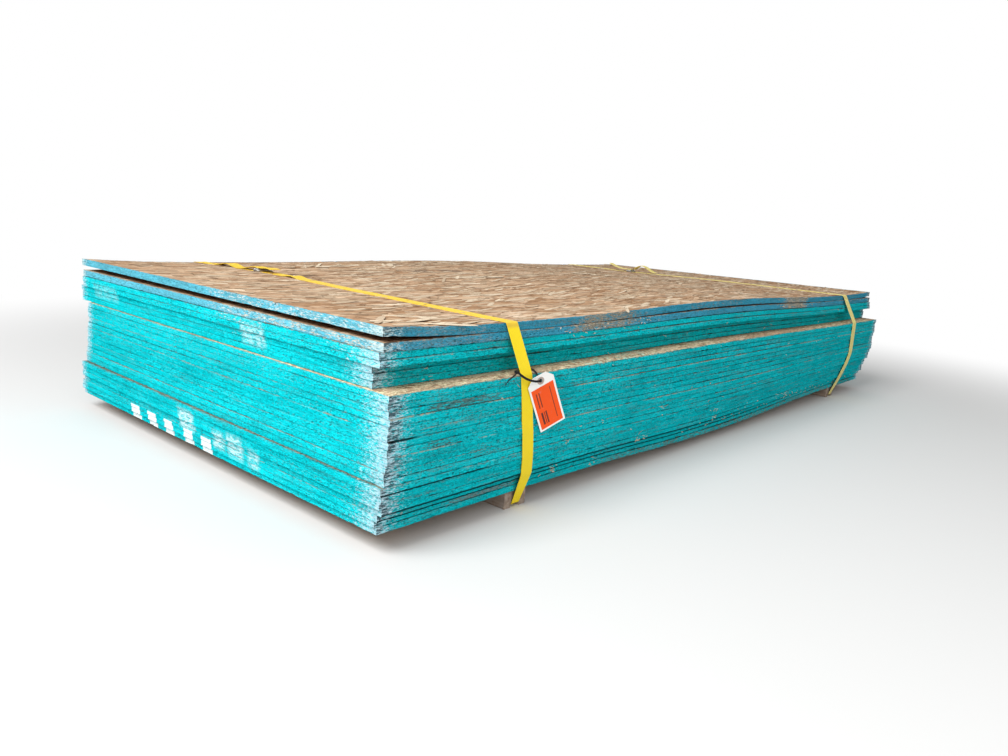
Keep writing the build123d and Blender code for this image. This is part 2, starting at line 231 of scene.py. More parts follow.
class Graph:
    """Short names for building the node tree of a finish or an effect."""

    def __init__(self, tree: bpy.types.NodeTree) -> None:
        """Keep the tree that the nodes go into."""
        self.tree = tree

    def add(self, kind: str, inputs: Optional[dict] = None, **settings: object) -> bpy.types.Node:
        """Add a shader node.

        Args:
            kind: the node's type, after the word ShaderNode.
            inputs: a value or a socket for each input, by name or number.
            settings: the node's properties.

        Returns:
            The new node.
        """
        node = self.tree.nodes.new("ShaderNode" + kind)
        for key, value in settings.items():
            setattr(node, key, value)
        self.connect(node, inputs or {})
        return node

    def connect(self, node: bpy.types.Node, inputs: dict) -> None:
        """Link or set some inputs of a node, by name or number."""
        for key, value in inputs.items():
            socket = node.inputs[key]
            if isinstance(value, Socket):
                self.tree.links.new(value, socket)
            elif socket.type == "RGBA":
                socket.default_value = (*value[:3], 1.0)
            else:
                socket.default_value = value

    def math(self, operation: str, first: Value, second: Value = 0.0) -> Socket:
        """What an operation makes of one or two numbers."""
        return self.add("Math", {0: first, 1: second}, operation=operation).outputs[0]

    def chain(self, operation: str, values: Sequence[Value]) -> Socket:
        """An operation on several numbers, from the left."""
        return reduce(lambda first, second: self.math(operation, first, second), values)

    def plus(self, *values: Value) -> Socket:
        """Several numbers added."""
        return self.chain("ADD", values)

    def times(self, *values: Value) -> Socket:
        """Several numbers multiplied."""
        return self.chain("MULTIPLY", values)

    def minus(self, first: Value, second: Value) -> Socket:
        """One number less another."""
        return self.math("SUBTRACT", first, second)

    def most(self, *values: Value) -> Socket:
        """The largest of several numbers."""
        return self.chain("MAXIMUM", values)

    def least(self, *values: Value) -> Socket:
        """The smallest of several numbers."""
        return self.chain("MINIMUM", values)

    def vector(self, operation: str, first: Value, second: Value) -> Socket:
        """What an operation makes of two vectors."""
        return self.add("VectorMath", {0: first, 1: second}, operation=operation).outputs[0]

    def between(self, value: Value, low: float, high: Union[float, Socket]) -> Socket:
        """Share from 0 to 1 that eases in between two bounds, or out where low is above high."""
        bounds = {"Value": value, "From Min": low, "From Max": high}
        return self.add("MapRange", bounds, interpolation_type="SMOOTHSTEP").outputs[0]

    def blend(self, share: Value, low: Value, high: Value) -> Socket:
        """A mix of two colours."""
        return self.add("Mix", {0: share, 6: low, 7: high}, data_type="RGBA").outputs[2]

    def blend_values(self, share: Value, low: Value, high: Value) -> Socket:
        """A mix of two numbers."""
        return self.add("Mix", {0: share, 2: low, 3: high}, data_type="FLOAT").outputs[0]

    def blend_vectors(self, share: Value, low: Value, high: Value) -> Socket:
        """A mix of two vectors."""
        return self.add("Mix", {0: share, 4: low, 5: high}, data_type="VECTOR").outputs[1]

    def noise(self, where: Value, scale: Sequence[float], detail: float = 2.0,
              roughness: float = 0.5) -> Socket:
        """Noise from 0 to 1.

        Args:
            where: the point, in metres.
            scale: features in a metre along each axis.
            detail: how many finer layers it has.
            roughness: how strong they are.

        Returns:
            Its value.
        """
        stretched = self.vector("MULTIPLY", where, scale)
        layers = {"Vector": stretched, "Scale": 1.0, "Detail": detail, "Roughness": roughness}
        return self.add("TexNoise", layers).outputs[0]

    def cells(self, where: Value, scale: Sequence[float], **settings: object) -> bpy.types.Node:
        """Voronoi cells, with features in a metre along each axis."""
        stretched = self.vector("MULTIPLY", where, scale)
        return self.add("TexVoronoi", {"Vector": stretched, "Scale": 1.0}, **settings)

    def parts(self, vector: Value) -> Sequence[Socket]:
        """The three parts of a vector."""
        return self.add("SeparateXYZ", {0: vector}).outputs

    def ramp(self, value: Value, stops: Sequence[tuple[float, Colour]]) -> Socket:
        """A colour ramp.

        Args:
            value: where to read it, from 0 to 1.
            stops: the place and the colour of each stop.

        Returns:
            The colour there.
        """
        node = self.add("ValToRGB", {0: value})
        elements = node.color_ramp.elements
        for _ in stops[2:]:
            elements.new(0.5)
        for element, (at, colour) in zip(elements, stops):
            element.position = at
            element.color = (*colour, 1.0)
        return node.outputs[0]

    def bump(self, height: Value, depth: float, strength: float = 1.0) -> Socket:
        """A normal from a height, whose full range is a depth in metres."""
        return self.add("Bump", {"Height": height, "Distance": depth, "Strength": strength}).outputs[0]

    def effect(self, name: str, inputs: dict) -> bpy.types.Node:
        """Place a shared effect with its own values."""
        node = self.tree.nodes.new("ShaderNodeGroup")
        node.node_tree = bpy.data.node_groups[name]
        self.connect(node, inputs)
        return node

    def grime(self, where: Value, amount: float, fineness: float) -> Socket:
        """The mask of the shared dirt."""
        return self.effect("grime", {"Place": where, "Amount": amount, "Fineness": fineness}).outputs[0]

    def tint(self, share: Value, amount: float, colour: Value, other: Value) -> Socket:
        """A colour turned towards another by an amount of a share."""
        return self.blend(self.times(share, amount), colour, other)

    def place_in_frame(self) -> Socket:
        """The point's place in the frame."""
        return self.add("TexCoord").outputs["Object"]

    def attribute(self, name: str, output: str = "Fac") -> Socket:
        """A value that each point of a mesh carries."""
        return self.add("Attribute", attribute_name=name).outputs[output]


def new_effect(name: str, inputs: dict[str, str], outputs: dict[str, str]) -> tuple[Graph, dict, dict]:
    """Start a shader group.

    Args:
        name: what it is called.
        inputs: the kind of each input, by name.
        outputs: the kind of each output, by name.

    Returns:
        Its graph, its inputs as sockets to read and its outputs as sockets to feed.
    """
    tree = bpy.data.node_groups.new(name, "ShaderNodeTree")
    for way, sockets in (("INPUT", inputs), ("OUTPUT", outputs)):
        for key, kind in sockets.items():
            tree.interface.new_socket(name=key, in_out=way, socket_type="NodeSocket" + kind)
    given, result = tree.nodes.new("NodeGroupInput").outputs, tree.nodes.new("NodeGroupOutput").inputs
    return Graph(tree), {key: given[key] for key in inputs}, {key: result[key] for key in outputs}


@dataclass(frozen=True)
class StrandLayer:
    """One layer of strands that were pressed flat."""

    turn: float     # degrees from the sheet's length
    length: float
    width: float
    rarity: float   # share of the layer that is missing


@dataclass(frozen=True)
class StrandEffect:
    """Strands in crossing layers, for the sheets' faces and torn pieces."""

    layers: tuple[StrandLayer, ...] = (
        StrandLayer(6, 0.105, 0.021, 0.0), StrandLayer(-16, 0.09, 0.016, 0.45),
        StrandLayer(24, 0.075, 0.014, 0.62), StrandLayer(-34, 0.065, 0.013, 0.78),
        StrandLayer(2, 0.13, 0.024, 0.55), StrandLayer(-7, 0.085, 0.011, 0.66),
        StrandLayer(13, 0.06, 0.008, 0.76))

    def build(self) -> None:
        """Make the effect: a tone, a grain, a relief and a rim for each point of a face."""
        outputs = dict.fromkeys(("Tone", "Grain", "Relief", "Rim"), "Float")
        graph, given, result = new_effect("strands", {"Place": "Vector"}, outputs)
        tone: Value = 0.5
        relief: Value = 0.0
        rim: Value = 0.0
        along: Value = given["Place"]
        for number, layer in enumerate(self.layers):
            turned = graph.add("Mapping", {
                "Vector": given["Place"], "Location": (0.013 * number, 0.037 * number, 0.0),
                "Rotation": (0.0, 0.0, math.radians(layer.turn)),
                "Scale": (layer.length, layer.width, 1.0)}, vector_type="TEXTURE").outputs[0]
            wavy = graph.vector("ADD", turned, graph.vector(
                "MULTIPLY", graph.add("TexNoise", {"Vector": turned, "Scale": 2.3, "Detail": 1.0}).outputs[1],
                (0.22, 0.3, 0.0)))
            cell = graph.add("TexVoronoi", {"Vector": wavy, "Scale": 1.0, "Randomness": 0.9},
                             voronoi_dimensions="2D", distance="CHEBYCHEV")
            chance = graph.add("SeparateColor", {0: cell.outputs["Color"]}).outputs
            covers = graph.math("GREATER_THAN", chance[0], layer.rarity - 0.001)
            tone = graph.blend_values(covers, tone, chance[1])
            height = graph.math("MULTIPLY_ADD", chance[2], 0.4)
            height.node.inputs[2].default_value = 0.1 * number
            relief = graph.blend_values(covers, relief, height)
            edge = graph.between(cell.outputs["Distance"], 0.36, 0.62)
            rim = graph.blend_values(covers, rim, edge)
            along = graph.blend_vectors(covers, along, graph.vector("ADD", turned, cell.outputs["Color"]))
        links = graph.tree.links
        links.new(tone, result["Tone"])
        links.new(graph.noise(along, (1.6, 9.0, 1.0), 4.0, 0.65), result["Grain"])
        links.new(relief, result["Relief"])
        links.new(rim, result["Rim"])


@dataclass(frozen=True)
class PoreEffect:
    """Cut strand ends in the sheets' edges: open pits, bare spots and thin streaks."""

    pit: tuple[float, float, float] = (135.0, 135.0, 470.0)
    spot: tuple[float, float, float] = (95.0, 95.0, 380.0)
    streak: tuple[float, float, float] = (26.0, 26.0, 430.0)

    def build(self) -> None:
        """Make the effect. More pits and spots open up as the amount goes from 0 to 1."""
        outputs = dict.fromkeys(("Pit", "Spot", "Streak"), "Float")
        graph, given, result = new_effect("pores", {"Place": "Vector", "Amount": "Float"}, outputs)
        links = graph.tree.links
        for name, scale, size in (("Pit", self.pit, 0.52), ("Spot", self.spot, 0.42)):
            bent = graph.vector("ADD", given["Place"], graph.vector(
                "MULTIPLY", graph.add("TexNoise", {"Vector": given["Place"], "Scale": 240.0}).outputs[1],
                (0.006, 0.006, 0.0016)))
            cell = graph.cells(bent, scale, distance="EUCLIDEAN")
            chance = graph.add("SeparateColor", {0: cell.outputs["Color"]}).outputs[0]
            opened = graph.math("LESS_THAN", chance, given["Amount"])
            depth = graph.between(cell.outputs["Distance"], size, size * 0.45)
            links.new(graph.times(opened, depth), result[name])
        links.new(graph.noise(given["Place"], self.streak, 3.0, 0.6), result["Streak"])


@dataclass(frozen=True)
class GrimeEffect:
    """Dust and dirt in soft blotches."""

    def build(self) -> None:
        """Make the effect: a mask that covers more as the amount goes from 0 to 1."""
        graph, given, result = new_effect(
            "grime", {"Place": "Vector", "Amount": "Float", "Fineness": "Float"}, {"Mask": "Float"})
        broad = graph.add("TexNoise", {"Vector": given["Place"], "Scale": given["Fineness"],
                                       "Detail": 6.0, "Roughness": 0.68}).outputs[0]
        shifted = graph.plus(broad, given["Amount"])
        graph.tree.links.new(graph.between(shifted, 0.88, 1.14), result["Mask"])


@dataclass(frozen=True)
class WeaveEffect:
    """Cords bound side by side with cross threads, on a band's own UV in metres."""

    cord_pitch: float = 0.0021
    thread_pitch: float = 0.0032

    def build(self) -> None:
        """Make the effect: the cords' height and a painted shade that is dark between them."""
        graph, given, result = new_effect("weave", {"Band": "Vector"}, {"Height": "Float", "Shade": "Float"})
        across, along, _ = graph.parts(given["Band"])
        turn = 2 * math.pi
        cords = graph.math("SINE", graph.times(across, turn / self.cord_pitch))
        slanted = graph.plus(along, graph.times(across, 0.6))
        threads = graph.math("SINE", graph.times(slanted, turn / self.thread_pitch))
        height = graph.plus(graph.times(cords, 0.35), graph.times(threads, 0.15))
        lifted = graph.plus(height, 0.5)
        graph.tree.links.new(lifted, result["Height"])
        graph.tree.links.new(graph.between(lifted, 0.0, 0.75), result["Shade"])


# Finishes


def new_finish(name: str) -> tuple[Material, Graph, Callable[..., None]]:
    """Start a material.

    Args:
        name: what it is called.

    Returns:
        The material, its graph and what feeds its Principled shader.
    """
    material = bpy.data.materials.new(name)
    material.use_nodes = True
    graph = Graph(material.node_tree)

    def surface(colour: Value, roughness: Value, shine: float, **more: Value) -> None:
        """Feed the shader, and its normal or its metal share where they are given."""
        graph.connect(material.node_tree.nodes["Principled BSDF"], {
            "Base Color": colour, "Roughness": roughness, "Specular IOR Level": shine, **more})

    return material, graph, surface


@dataclass(frozen=True)
class PaintBar:
    """One white bar that was sprayed on the lowest sheets' ends, or a fainter patch."""

    middle: float
    half: float
    low: float
    high: float
    strength: float


@dataclass(frozen=True)
class Wear:
    """A stretch of some neighbouring sheets that is rubbed, stained or dirty, or carries painted light and
    shade, in metres along them.
    """

    lowest: int
    highest: int
    start: float
    end: float
    strength: float
    colour: Colour


@dataclass(frozen=True)
class Patches:
    """Noise that is cut into patches with soft rims."""

    scale: tuple[float, float, float]       # features in a metre along each axis
    detail: float
    roughness: float
    low: float      # the noise from which a patch eases in, and where it is full
    high: float

    def mask(self, graph: Graph, where: Value) -> Socket:
        """Share from 0 to 1 of a patch at a point."""
        return graph.between(graph.noise(where, self.scale, self.detail, self.roughness), self.low, self.high)


@dataclass(frozen=True)
class BoardPoint:
    """What a board's material knows of the point that it colours."""

    graph: Graph
    where: Socket       # its place in the frame
    board: Socket       # and in its own sheet
    tint: Socket
    porous: Socket
    bare_arris: Socket
    near: Socket        # how far it is from the sheet's ends and sides
    far: Socket
    front: Socket
    back: Socket
    up: Socket          # and from its underside
    is_end: Socket      # 1 on the short edges and 0 on the long ones
    number: Socket      # which sheet it is in, from the bottom
    specks: Socket      # the noises that all worn stretches share
    drift: Socket       # of their ends, in metres
    mottle: Socket

    @classmethod
    def read(cls, graph: Graph) -> "BoardPoint":
        """Add the nodes that it takes to a material's graph."""
        where = graph.place_in_frame()
        board = graph.attribute(BOARD, "Vector")
        traits = graph.parts(graph.attribute(TRAITS, "Vector"))
        near, front, up = graph.parts(board)
        far, back = graph.minus(SHEET_LENGTH, near), graph.minus(SHEET_WIDTH, front)
        is_end = graph.math("LESS_THAN", graph.least(near, far), graph.least(front, back))
        number = graph.attribute(NUMBER)
        specks = graph.noise(graph.vector("ADD", where, (0.7, 2.9, 1.3)), (70, 70, 420), 5.0, 0.75)
        drift = graph.times(graph.minus(graph.noise(where, (11, 11, 60), 3.0), 0.5), 0.12)
        mottle = graph.between(graph.noise(where, (120, 120, 640), 4.0, 0.78), 0.36, 0.58)
        sides = (near, far, front, back, up, is_end)
        return cls(graph, where, board, *traits, *sides, number, specks, drift, mottle)


@dataclass(frozen=True)
class BoardFinish:
    """Strand board with pressed faces and worn paint on its edges, with painted light and shade on the edges
    and on two ledges.
    """

    name: str
    thickness: float
    # The end paint is lighter and the side paint darker than the paint itself: painted light on the ends and
    # painted shade on the long sides
    end_paint_lit: Colour
    side_paint_shaded: Colour
    worn: float     # how far the paint on the long edge is rubbed to grey
    frost: Colour   # where the corners are rubbed white
    barred: bool    # has bars sprayed on its ends, and no marks on its face
    wood: tuple[tuple[float, Colour], ...] = (
        (0.0, (0.23, 0.125, 0.066)), (0.18, (0.36, 0.215, 0.12)), (0.42, (0.5, 0.33, 0.205)),
        (0.68, (0.6, 0.425, 0.285)), (0.88, (0.72, 0.56, 0.4)), (1.0, (0.8, 0.66, 0.5)))
    # What darkens and dirties the face
    dark_fibre: Colour = (0.2, 0.105, 0.055)
    strand_rim: Colour = (0.115, 0.062, 0.035)
    grimy: Colour = (0.235, 0.185, 0.15)
    smeared: Colour = (0.055, 0.045, 0.04)
    # What the paint turns to on the edges
    shaded: Colour = (0.0, 0.1, 0.11)
    lit: Colour = (0.1, 0.95, 0.95)
    thin: Colour = (0.3, 0.92, 0.95)
    rubbed_dark: Colour = (0.035, 0.075, 0.072)
    rubbed_light: Colour = (0.2, 0.26, 0.25)
    spot: Colour = (0.2, 0.22, 0.17)
    # pit is painted shade in the open pits and low flecks of the edges
    pit: Colour = (0.006, 0.06, 0.066)
    # crevice is painted shade down the seams between the sheets
    crevice: Colour = (0.003, 0.062, 0.068)
    bare_wood: Colour = (0.46, 0.37, 0.25)
    seam_shadow: Colour = (0.004, 0.012, 0.013)
    soot: Colour = (0.026, 0.048, 0.062)
    spray: Colour = (0.8, 0.87, 0.88)
    # Where the fibres, the paint, its wear and the spray come and go
    fibre_patches: Patches = Patches((26, 900, 900), 3.0, 0.7, 0.34, 0.66)
    thin_patches: Patches = Patches((12, 12, 620), 3.0, 0.7, 0.6, 0.7)
    rubbed_patches: Patches = Patches((150, 150, 620), 4.0, 0.78, 0.46, 0.56)
    arris_patches: Patches = Patches((14, 14, 60), 3.0, 0.5, 0.4, 0.56)
    spray_patches: Patches = Patches((70, 70, 360), 4.0, 0.75, 0.42, 0.58)
    # Rubbed stretches of the front edges
    wears: tuple[Wear, ...] = (
        Wear(25, 26, 0.48, 0.8, 0.8, (0.32, 0.26, 0.18)), Wear(25, 26, 1.57, 1.83, 0.9, (0.38, 0.32, 0.23)),
        Wear(26, 26, 0.95, 1.4, 0.45, (0.22, 0.24, 0.23)), Wear(25, 26, 0.0, 0.32, 0.42, (0.24, 0.31, 0.34)),
        Wear(17, 17, 0.05, 0.29, 0.75, (0.08, 0.11, 0.1)), Wear(12, 12, 0.06, 0.17, 0.6, (0.07, 0.1, 0.09)),
        Wear(9, 10, 0.16, 0.3, 0.4, (0.09, 0.12, 0.1)), Wear(2, 2, 0.12, 0.42, 0.85, (0.17, 0.22, 0.22)),
        Wear(1, 1, 0.6, 2.43, 0.6, (0.17, 0.16, 0.12)), Wear(2, 2, 1.2, 2.4, 0.3, (0.17, 0.16, 0.12)))
    # The same on the near ends, in metres from the front
    end_wears: tuple[Wear, ...] = (
        Wear(25, 26, -0.1, 0.62, 0.5, (0.6, 0.64, 0.6)), Wear(25, 25, -0.1, 0.5, 0.5, (0.52, 0.47, 0.38)),
        Wear(24, 24, 0.28, 0.6, 0.45, (0.56, 0.76, 0.8)), Wear(23, 24, -0.1, 0.2, 0.35, (0.58, 0.72, 0.74)),
        Wear(22, 22, 0.3, 0.48, 0.35, (0.5, 0.74, 0.8)), Wear(18, 19, 0.2, 1.2, 0.22, (0.3, 0.34, 0.28)))
    # Stains on the faces that show at the ledges. The pale one along all of sheet 19 is a painted highlight
    # on its ledge, which lies in the shade of the sheets above, and the dark one along sheet 25 is painted
    # shade on its top in the gap under sheet 26
    stains_and_painted_light: tuple[Wear, ...] = (
        Wear(19, 19, -0.1, 2.44, 0.7, (0.74, 0.55, 0.36)), Wear(19, 19, 1.1, 1.9, 0.5, (0.46, 0.2, 0.14)),
        Wear(19, 19, 0.46, 0.9, 0.42, (0.32, 0.64, 0.53)), Wear(7, 7, -0.3, 0.3, 1.0, (0.1, 0.16, 0.14)),
        Wear(25, 25, 0.0, 2.44, 1.0, (0.2, 0.085, 0.05)))
    # Dirty marks on the highest face: X and Y of the middle, half length, half width and strength
    marks: tuple[tuple[float, ...], ...] = (
        (-0.812, 0.247, 0.06, 0.04, 0.6), (-0.345, 0.274, 0.04, 0.045, 0.6),
        (-0.235, 0.262, 0.04, 0.04, 0.55), (0.155, 0.007, 0.01, 0.032, 0.95),
        (-0.62, 0.235, 0.06, 0.03, 0.3))
    # Seams that stand open, darkened with painted shadow: the sheet below each, how far along it is open, and
    # half its height
    open_seams: tuple[tuple[int, float, float], ...] = (
        (3, 1.8, 0.0044), (2, 2.2, 0.0034), (6, 0.34, 0.0024), (13, 0.08, 0.002))
    # White bars on the ends: middle, half width, bottom and top, and how thick the paint is
    bars: tuple[PaintBar, ...] = (
        PaintBar(0.2963, 0.0225, 0.035, 0.072, 1.0), PaintBar(0.2103, 0.021, 0.035, 0.072, 1.0),
        PaintBar(0.1288, 0.02, 0.035, 0.072, 1.0), PaintBar(0.0373, 0.02, 0.035, 0.072, 1.0),
        PaintBar(-0.0417, 0.021, 0.035, 0.072, 1.0),
        PaintBar(0.038, 0.032, 0.074, 0.116, 0.6), PaintBar(-0.098, 0.022, 0.062, 0.098, 0.5),
        PaintBar(-0.162, 0.028, 0.058, 0.104, 0.5), PaintBar(-0.229, 0.018, 0.052, 0.092, 0.46),
        PaintBar(0.49, 0.07, 0.3, 0.334, 0.16), PaintBar(-0.205, 0.042, 0.296, 0.336, 0.34))
    bar_slip: float = 0.002    # a bar's part below the step lies this much further back
    bar_step: float = 0.0525

    def build(self) -> Material:
        """Make the material."""
        material, graph, surface = new_finish(self.name)
        point = BoardPoint.read(graph)
        ragged = graph.noise(point.where, (120, 120, 120), 3.0, 0.7)
        sprayed, bare = graph.times(graph.minus(ragged, 0.22), 0.017), graph.times(ragged, 0.0022)
        reach = graph.blend_values(graph.between(point.bare_arris, 0.3, 0.5), sprayed, bare)
        off = graph.least(point.near, point.far, point.front, point.back)
        edge = graph.math("LESS_THAN", off, graph.most(reach, 0.0006))
        painted, edge_rough, edge_height = self.edge(point)
        face, face_height = self.face(point)
        # Stains, a painted highlight on sheet 19's ledge and painted shade on sheet 25's top
        face = self.add_wear(point, face, self.stains_and_painted_light, point.near)
        relief = graph.bump(graph.blend_values(edge, face_height, edge_height), 0.0011, 0.85)
        rough = graph.blend_values(edge, 0.86, edge_rough)
        surface(graph.blend(edge, face, painted), rough, 0.0, Normal=relief)
        return material

    def add_wear(self, point: BoardPoint, colour: Value, wears: Sequence[Wear], along: Value) -> Socket:
        """Rubbed or stained stretches, and stretches of painted light and shade, in specks that close up with
        the strength.

        Args:
            point: what is known of the point.
            colour: the colour so far.
            wears: the stretches.
            along: how far the point is from where they are measured.

        Returns:
            The colour with them on it.
        """
        graph = point.graph
        at = graph.plus(along, point.drift)
        for wear in wears:
            soft = min(0.1, (wear.end - wear.start) / 3)
            inside = graph.times(graph.between(at, wear.start - soft / 2, wear.start + soft),
                                 graph.between(at, wear.end + soft / 2, wear.end - soft))
            middle, half = (wear.lowest + wear.highest) / 2, (wear.highest - wear.lowest) / 2 + 0.5
            off = graph.math("ABSOLUTE", graph.minus(point.number, middle))
            of_sheet = graph.math("LESS_THAN", off, half)
            level = graph.plus(point.specks, graph.times(graph.minus(inside, 1.0), 0.3))
            closed = 0.3 * wear.strength
            cover = graph.between(level, 0.64 - closed, 0.76 - closed)
            share = graph.times(graph.math("GREATER_THAN", inside, 0.0), of_sheet, cover, 0.88)
            dark = tuple(part * 0.22 for part in wear.colour)
            light = tuple(min(part * 1.35, 0.85) for part in wear.colour)
            colour = graph.blend(share, colour, graph.blend(point.mottle, dark, light))
        return colour

    def face(self, point: BoardPoint) -> tuple[Socket, Socket]:
        """The pressed face: strands, grain, stains and dust.

        Args:
            point: what is known of the point.

        Returns:
            Its colour and its height.
        """
        graph, where = point.graph, point.where
        shift = graph.add("CombineXYZ", {0: point.tint, 1: point.tint, 2: 0.0}).outputs[0]
        strands = graph.effect("strands", {"Place": graph.vector("ADD", point.board, shift)})
        grain = strands.outputs["Grain"]
        broad = graph.times(graph.minus(graph.noise(where, (3.1, 5.3, 1.0), 3.0), 0.62), 0.55)
        tone = graph.plus(graph.times(strands.outputs["Tone"], 0.78), graph.times(grain, 0.36), broad)
        colour = graph.ramp(tone, self.wood)
        fibre = self.fibre_patches.mask(graph, point.board)
        colour = graph.blend(graph.blend_values(fibre, 0.3, 0.0), colour, self.dark_fibre)
        colour = graph.tint(strands.outputs["Rim"], 0.55, colour, self.strand_rim)
        stain = graph.grime(where, 0.33, 9.0)
        colour = graph.tint(stain, 0.42, colour, self.grimy)
        if not self.barred:
            colour = self.add_marks(point, colour)
        return colour, graph.plus(graph.times(strands.outputs["Relief"], 0.8), graph.times(grain, 0.35))

    def add_marks(self, point: BoardPoint, colour: Value) -> Socket:
        """Dark dirty marks on the highest face.

        Args:
            point: what is known of the point.
            colour: the colour so far.

        Returns:
            The colour with them on it.
        """
        graph = point.graph
        x, y, _ = graph.parts(point.where)
        frayed = graph.times(graph.minus(graph.noise(point.where, (30, 160, 1), 4.0, 0.75), 0.5), 3.0)
        for middle_x, middle_y, half_length, half_width, strength in self.marks:
            off = [graph.math("POWER", graph.math("DIVIDE", graph.minus(at, middle), half), 2.0)
                   for at, middle, half in ((x, middle_x, half_length), (y, middle_y, half_width))]
            inside = graph.between(graph.plus(*off, frayed), 1.5, 0.3)
            colour = graph.blend(graph.times(inside, strength), colour, self.smeared)
        return colour

    def edge(self, point: BoardPoint) -> tuple[Socket, ...]:
        """The cut edge: paint over porous strands, rubbed and dirty towards the corners, with painted light
        on the ends and painted shade on the long sides, in the pits and down the seams.

        Args:
            point: what is known of the point.

        Returns:
            Its colour, its roughness and its height.
        """
        graph, where, is_end = point.graph, point.where, point.is_end
        patch = graph.noise(where, (7, 7, 22), 3.0, 0.6)
        off = graph.minus(patch, 0.5)
        amount = graph.plus(graph.times(off, 1.5), point.porous)
        pores = graph.effect("pores", {"Place": where, "Amount": amount})
        pit, spot, streak = (pores.outputs[name] for name in ("Pit", "Spot", "Streak"))
        # Painted light and shade: the lighter end paint on the ends, the darker side paint on the long sides
        paint = graph.blend(is_end, self.side_paint_shaded, self.end_paint_lit)
        shade = graph.plus(graph.times(streak, 0.85), graph.times(patch, 0.18), graph.times(point.tint, 0.14))
        paint = graph.blend(
            graph.between(shade, 0.36, 0.74), graph.blend(0.3, paint, self.shaded),
            graph.blend(0.04, paint, self.lit))
        paint = graph.tint(self.thin_patches.mask(graph, where), 0.2, paint, self.thin)
        fleck = graph.plus(graph.noise(where, (230, 230, 760), 3.0, 0.78), graph.times(off, 0.2))
        fleck = graph.between(fleck, 0.35, 0.52)
        # Painted shade in the low flecks
        paint = graph.blend(graph.times(graph.minus(1.0, fleck), 0.7), paint, self.pit)
        rubbed = graph.plus(graph.noise(where, (5, 5, 90), 4.0, 0.65), self.worn * 0.3)
        rubbed = graph.times(graph.between(rubbed, 0.54, 0.72), graph.blend_values(is_end, 1.0, 0.45))
        specks = self.rubbed_patches.mask(graph, where)
        grey = graph.blend(streak, self.rubbed_dark, self.rubbed_light)
        paint = graph.blend(graph.times(rubbed, specks, 0.78), paint, grey)
        colour = graph.tint(spot, 0.34, paint, self.spot)
        # Painted shade in the open pits
        colour = graph.tint(pit, 0.62, colour, self.pit)
        at_front = graph.times(graph.math("LESS_THAN", point.front, 0.003), graph.minus(1.0, is_end))
        colour = graph.blend(at_front, colour, self.add_wear(point, colour, self.wears, point.near))
        at_near = graph.times(graph.math("LESS_THAN", point.near, 0.003), is_end)
        colour = graph.blend(at_near, colour, self.add_wear(point, colour, self.end_wears, point.front))
        colour = self.add_corners(point, colour)
        if self.barred:
            colour = self.add_bars(point, colour, pit)
        colour, seam = self.add_seams(point, colour)
        sunk = graph.plus(graph.times(pit, 0.7), graph.times(seam, 0.9))
        height = graph.minus(graph.times(fleck, 0.35), sunk)
        return colour, graph.blend_values(graph.most(pit, spot), 0.62, 0.9), height

    def add_seams(self, point: BoardPoint, colour: Value) -> tuple[Socket, Socket]:
        """The lines between sheets: seams darkened with painted shade, bare upper arrises and a few seams
        that stand open, darkened with painted shadow.

        Args:
            point: what is known of the point.
            colour: the colour so far.

        Returns:
            The colour with the lines on it, and where the seams are.
        """
        graph, where, is_end = point.graph, point.where, point.is_end
        below = graph.minus(self.thickness, point.up)
        slack = graph.times(graph.minus(graph.noise(where, (160, 160, 160), 3.0, 0.65), 0.5), 0.0022)
        seam = graph.between(graph.minus(graph.least(point.up, below), slack), 0.0009, 0.0001)
        fading = graph.plus(graph.noise(where, (5, 5, 80), 3.0), graph.times(point.tint, 0.22))
        seam = graph.times(seam, graph.between(fading, 0.4, 0.8), graph.blend_values(is_end, 1.0, 0.72))
        # Painted shade down the seams between the sheets
        colour = graph.tint(seam, 0.76, colour, self.crevice)
        broken = graph.noise(graph.vector("ADD", where, (1.9, 0.3, 2.2)), (95, 95, 240), 4.0, 0.75)
        bare = graph.times(
            graph.between(graph.minus(below, slack), 0.0026, 0.0013), point.bare_arris,
            self.arris_patches.mask(graph, where),
            graph.between(broken, 0.42, 0.56), graph.blend_values(is_end, 0.85, 0.42))
        colour = graph.blend(bare, colour, self.bare_wood)
        level = graph.plus(point.number, graph.math("DIVIDE", point.up, self.thickness))
        gaps = []
        for lower, reach, half in self.open_seams:
            off = graph.times(graph.math("ABSOLUTE", graph.minus(level, lower + 1.0)), self.thickness)
            gap = graph.between(graph.plus(off, slack), half, half / 2)
            gaps.append(graph.times(gap, graph.between(point.near, reach, reach * 0.6)))
        gap = graph.times(graph.most(*gaps), graph.minus(1.0, is_end))
        # Painted shadow in the open seams
        return graph.tint(gap, 0.9, colour, self.seam_shadow), graph.most(seam, gap)

    def add_corners(self, point: BoardPoint, colour: Value) -> Socket:
        """Paint that handling has rubbed to white and soot at the sheets' corners.

        Args:
            point: what is known of the point.
            colour: the colour so far.

        Returns:
            The colour with both on it.
        """
        graph, where, is_end = point.graph, point.where, point.is_end
        nearness = []
        for end, side, on_side, on_end in (
                (point.near, point.front, 0.062, 0.09), (point.near, point.back, 0.05, 0.042),
                (point.far, point.front, 0.05, 0.055), (point.far, point.back, 0.05, 0.055)):
            share = graph.math("DIVIDE", graph.plus(end, side), graph.blend_values(is_end, on_side, on_end))
            nearness.append(graph.minus(1.0, share))
        close = graph.most(*nearness, -1.0)

        def blotches(place: Value, scale: Sequence[float], roughness: float, contrast: float) -> Socket:
            """Noise with its contrast raised about one half."""
            fine = graph.noise(place, scale, 4.0, roughness)
            return graph.plus(graph.times(graph.minus(fine, 0.5), contrast), 0.5)

